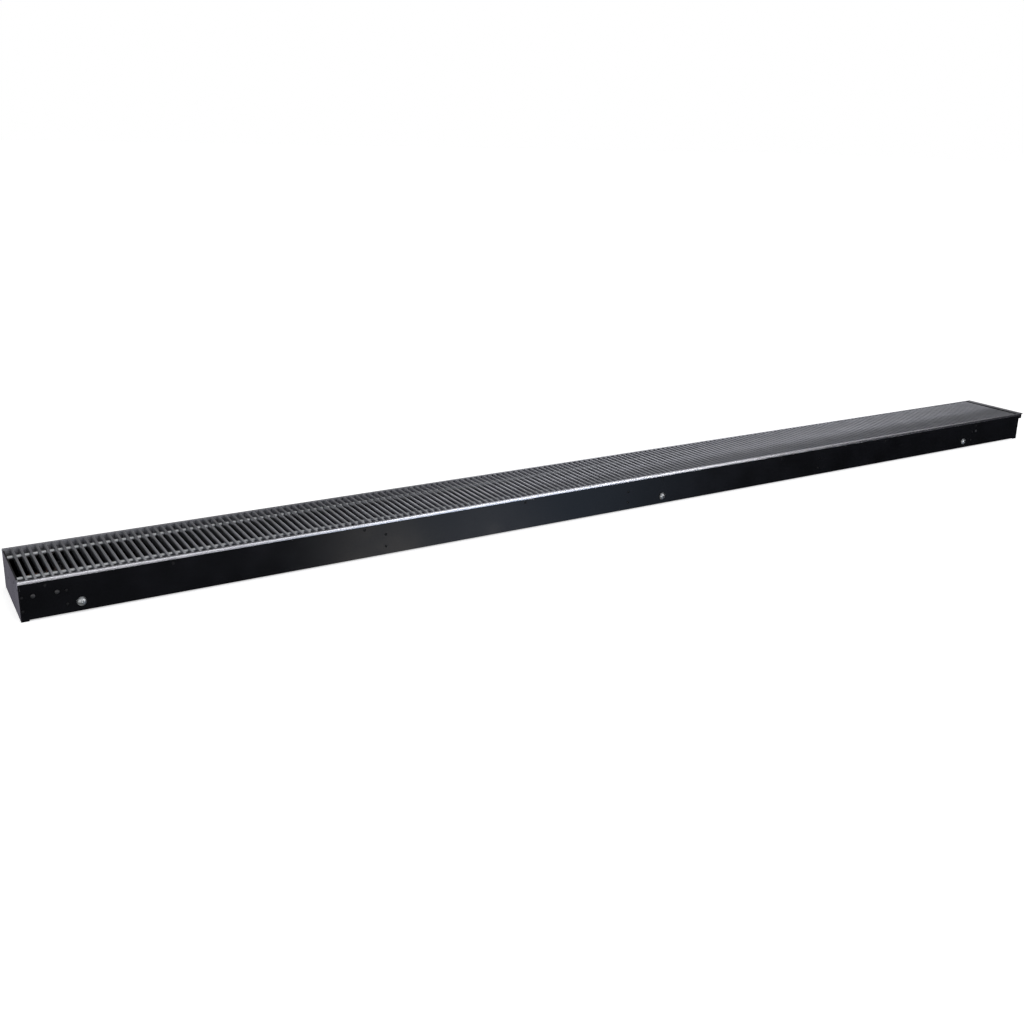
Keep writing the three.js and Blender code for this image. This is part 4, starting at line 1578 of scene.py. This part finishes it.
@dataclass(frozen=True)
class Studio:
    """A pale floor under soft light, with panels and flags round it for the gloss to mirror."""

    floor_half: float = 60.0
    floor_glow: float = 0.55    # lifts the shade round the object, as under a light table
    sun_strength: float = 0.8
    sun_spread: float = 60.0
    sun_towards: Triple = (0.15, 0.25, -1.0)
    room: tuple[Pair, ...] = (  # (elevation, level) of the room's own light
        (-90, 0.50), (-40, 0.45), (-6, 0.32), (6, 0.15), (30, 0.16), (50, 0.20), (66, 0.42),
        (80, 1.3), (90, 1.4),
    )
    panels: tuple[Panel, ...] = (
        Panel("front_panel", 0.0, 34.0, 42.0, 28.0, 8.0, (0.62, 0.62, 0.65)),
        Panel("low_front_flag", -5.0, -26.0, 60.0, 13.0, 3.0, (0.10, 0.10, 0.11)),
        Panel("low_front_panel", 31.0, -27.0, 3.5, 13.0, 8.5, (0.78, 0.98, 1.3)),
        Panel("low_spot_left", 24.5, -21.5, 1.2, 1.2, 1.6, (3.6, 3.4, 3.2)),
        Panel("low_spot_right", 30.6, -20.2, 0.7, 0.7, 1.4, (3.2, 3.2, 3.4)),
        Panel("front_strip", -10.0, -6.0, 34.0, 3.0, 3.5, (5.4, 5.3, 5.3)),
        Panel("front_strip_right", 33.5, -3.2, 7.5, 2.6, 3.0, (11.5, 11.2, 11.0)),
        Panel("right_flag", 94.0, -40.0, 46.0, 54.0, 5.0, (0.035, 0.035, 0.04)),
        Panel("low_back_panel", 139.0, 17.0, 6.0, 8.0, 12.0, (1.1, 1.1, 1.14)),
        Panel("low_rear_panel", 183.0, -26.0, 45.0, 20.0, 12.0, (0.27, 0.26, 0.31)),
    )

    def floor(self) -> None:
        """A plain matt floor at the ground, which mirrors in nothing."""
        half = self.floor_half
        corners = [(-half, -half, 0), (half, -half, 0), (half, half, 0), (-half, half, 0)]
        mesh = bpy.data.meshes.new("studio_floor")
        mesh.from_pydata(corners, [], [(0, 1, 2, 3)])
        made = bpy.data.materials.new("matt_white_floor")
        made.use_nodes = True
        shader = made.node_tree.nodes["Principled BSDF"]
        shader.inputs["Base Color"].default_value = linear("#f7f7f7")
        shader.inputs["Roughness"].default_value = 0.9
        shader.inputs["Specular IOR Level"].default_value = 0.0
        shader.inputs["Emission Color"].default_value = (1.0, 1.0, 1.0, 1.0)
        shader.inputs["Emission Strength"].default_value = self.floor_glow
        mesh.materials.append(made)
        floor = bpy.data.objects.new("studio_floor", mesh)
        floor.visible_glossy = False
        bpy.context.scene.collection.objects.link(floor)
        floor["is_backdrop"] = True

    def sun(self) -> None:
        """A wide soft light from far above, which only matt surfaces take up."""
        light = bpy.data.lights.new("overhead_softbox", "SUN")
        light.energy = self.sun_strength
        light.angle = math.radians(self.sun_spread)
        lamp = bpy.data.objects.new("overhead_softbox", light)
        lamp.rotation_mode = "QUATERNION"
        lamp.rotation_quaternion = Vector(self.sun_towards).to_track_quat("-Z", "Y")
        lamp.visible_glossy = False
        bpy.context.scene.collection.objects.link(lamp)

    def surroundings(self) -> None:
        """The world: white to the eye, and to the light a dim room with the panels laid over it."""
        world = bpy.data.worlds.new("studio_room")
        bpy.context.scene.world = world
        world.use_nodes = True
        tree = world.node_tree
        tree.nodes.clear()
        way = add_node(tree, "ShaderNodeTexCoord").outputs["Generated"]
        parts = add_node(tree, "ShaderNodeSeparateXYZ", links={"Vector": way})
        height = add_node(tree, "ShaderNodeMath", {"operation": "ARCSINE"},
                          {0: parts.outputs["Z"]}).outputs["Value"]
        share = add_node(tree, "ShaderNodeMapRange", {
            "From Min": -math.pi / 2, "From Max": math.pi / 2, "To Min": 0.0, "To Max": 1.0,
        }, {"Value": height}).outputs["Result"]
        ramp = add_node(tree, "ShaderNodeValToRGB", links={"Fac": share})
        stops = ramp.color_ramp.elements
        for number, (elevation, level) in enumerate(self.room):
            stop = stops[number] if number < 2 else stops.new(1.0)
            stop.position = (elevation + 90) / 180
            stop.color = (level, level, level, 1)
        light = ramp.outputs["Color"]
        for panel in self.panels:
            light = add_node(tree, "ShaderNodeMix", {"data_type": "RGBA", 7: (*panel.colour, 1.0)},
                             {0: panel.cover(tree, way, height), 6: light}).outputs[2]
        seen = add_node(tree, "ShaderNodeBackground", {"Color": (1, 1, 1, 1), "Strength": 1.0})
        room = add_node(tree, "ShaderNodeBackground", {"Strength": 1.0}, {"Color": light})
        path = add_node(tree, "ShaderNodeLightPath")
        mix = add_node(tree, "ShaderNodeMixShader", links={
            0: path.outputs["Is Camera Ray"],
            1: room.outputs["Background"],
            2: seen.outputs["Background"],
        })
        add_node(tree, "ShaderNodeOutputWorld", links={"Surface": mix.outputs["Shader"]})

    def build(self) -> None:
        """Makes the floor, the lights and the surroundings."""
        self.floor()
        self.sun()
        self.surroundings()
        bpy.context.scene.view_settings.view_transform = "Standard"


@dataclass(frozen=True)
class PhotoCamera:
    """The camera, standing where the photograph was taken from."""

    location: Triple = (-1.7341, -2.2399, 0.9096)   # in metres
    yaw: float = 31.925         # from +Y towards +X, in degrees
    pitch: float = 16.448       # downwards
    roll: float = 1.436
    lens: float = 39.25         # focal length in millimetres
    sensor: float = 36.0        # its width in millimetres
    shift: Pair = (-0.0092, -0.0467)
    clip: Pair = (0.01, 500.0)

    def build(self) -> None:
        """Places the camera and makes it the scene's own."""
        yaw, pitch, roll = (math.radians(angle) for angle in (self.yaw, self.pitch, self.roll))
        onward = math.cos(pitch)
        ahead = Vector((math.sin(yaw) * onward, math.cos(yaw) * onward, -math.sin(pitch)))
        level = Vector((math.cos(yaw), -math.sin(yaw), 0.0))
        upright = level.cross(ahead)
        right = math.cos(roll) * level + math.sin(roll) * upright
        up = math.cos(roll) * upright - math.sin(roll) * level
        camera = bpy.data.cameras.new("photo_camera")
        camera.lens = self.lens
        camera.sensor_width = self.sensor
        camera.shift_x, camera.shift_y = self.shift
        camera.clip_start, camera.clip_end = self.clip
        holder = bpy.data.objects.new("photo_camera", camera)
        axes = Matrix((right, up, -ahead)).transposed().to_4x4()
        holder.matrix_world = Matrix.Translation(self.location) @ axes
        bpy.context.scene.collection.objects.link(holder)
        bpy.context.scene.camera = holder


def main(packed: tuple[Vector, Vector]) -> None:
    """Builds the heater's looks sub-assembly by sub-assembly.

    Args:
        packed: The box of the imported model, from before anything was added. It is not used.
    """
    logging.basicConfig(level=logging.INFO, format="%(name)s %(message)s")
    PhotoCamera().build()
    Studio().build()
    Trough().build()
    for side in Side:
        EdgeRail(side).build()
    dress_solid("end_rail_right", RAIL, 0.35)
    for number in (1, 2):
        GrilleSection(number).build()
    HeatExchanger().build()
    for side in Side:
        for number in (1, 2, 3):
            LevellingFoot(side, number).build()
    Stoppers().build()
    bpy.context.view_layer.update()


if __name__ == "__main__":
    main(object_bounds())
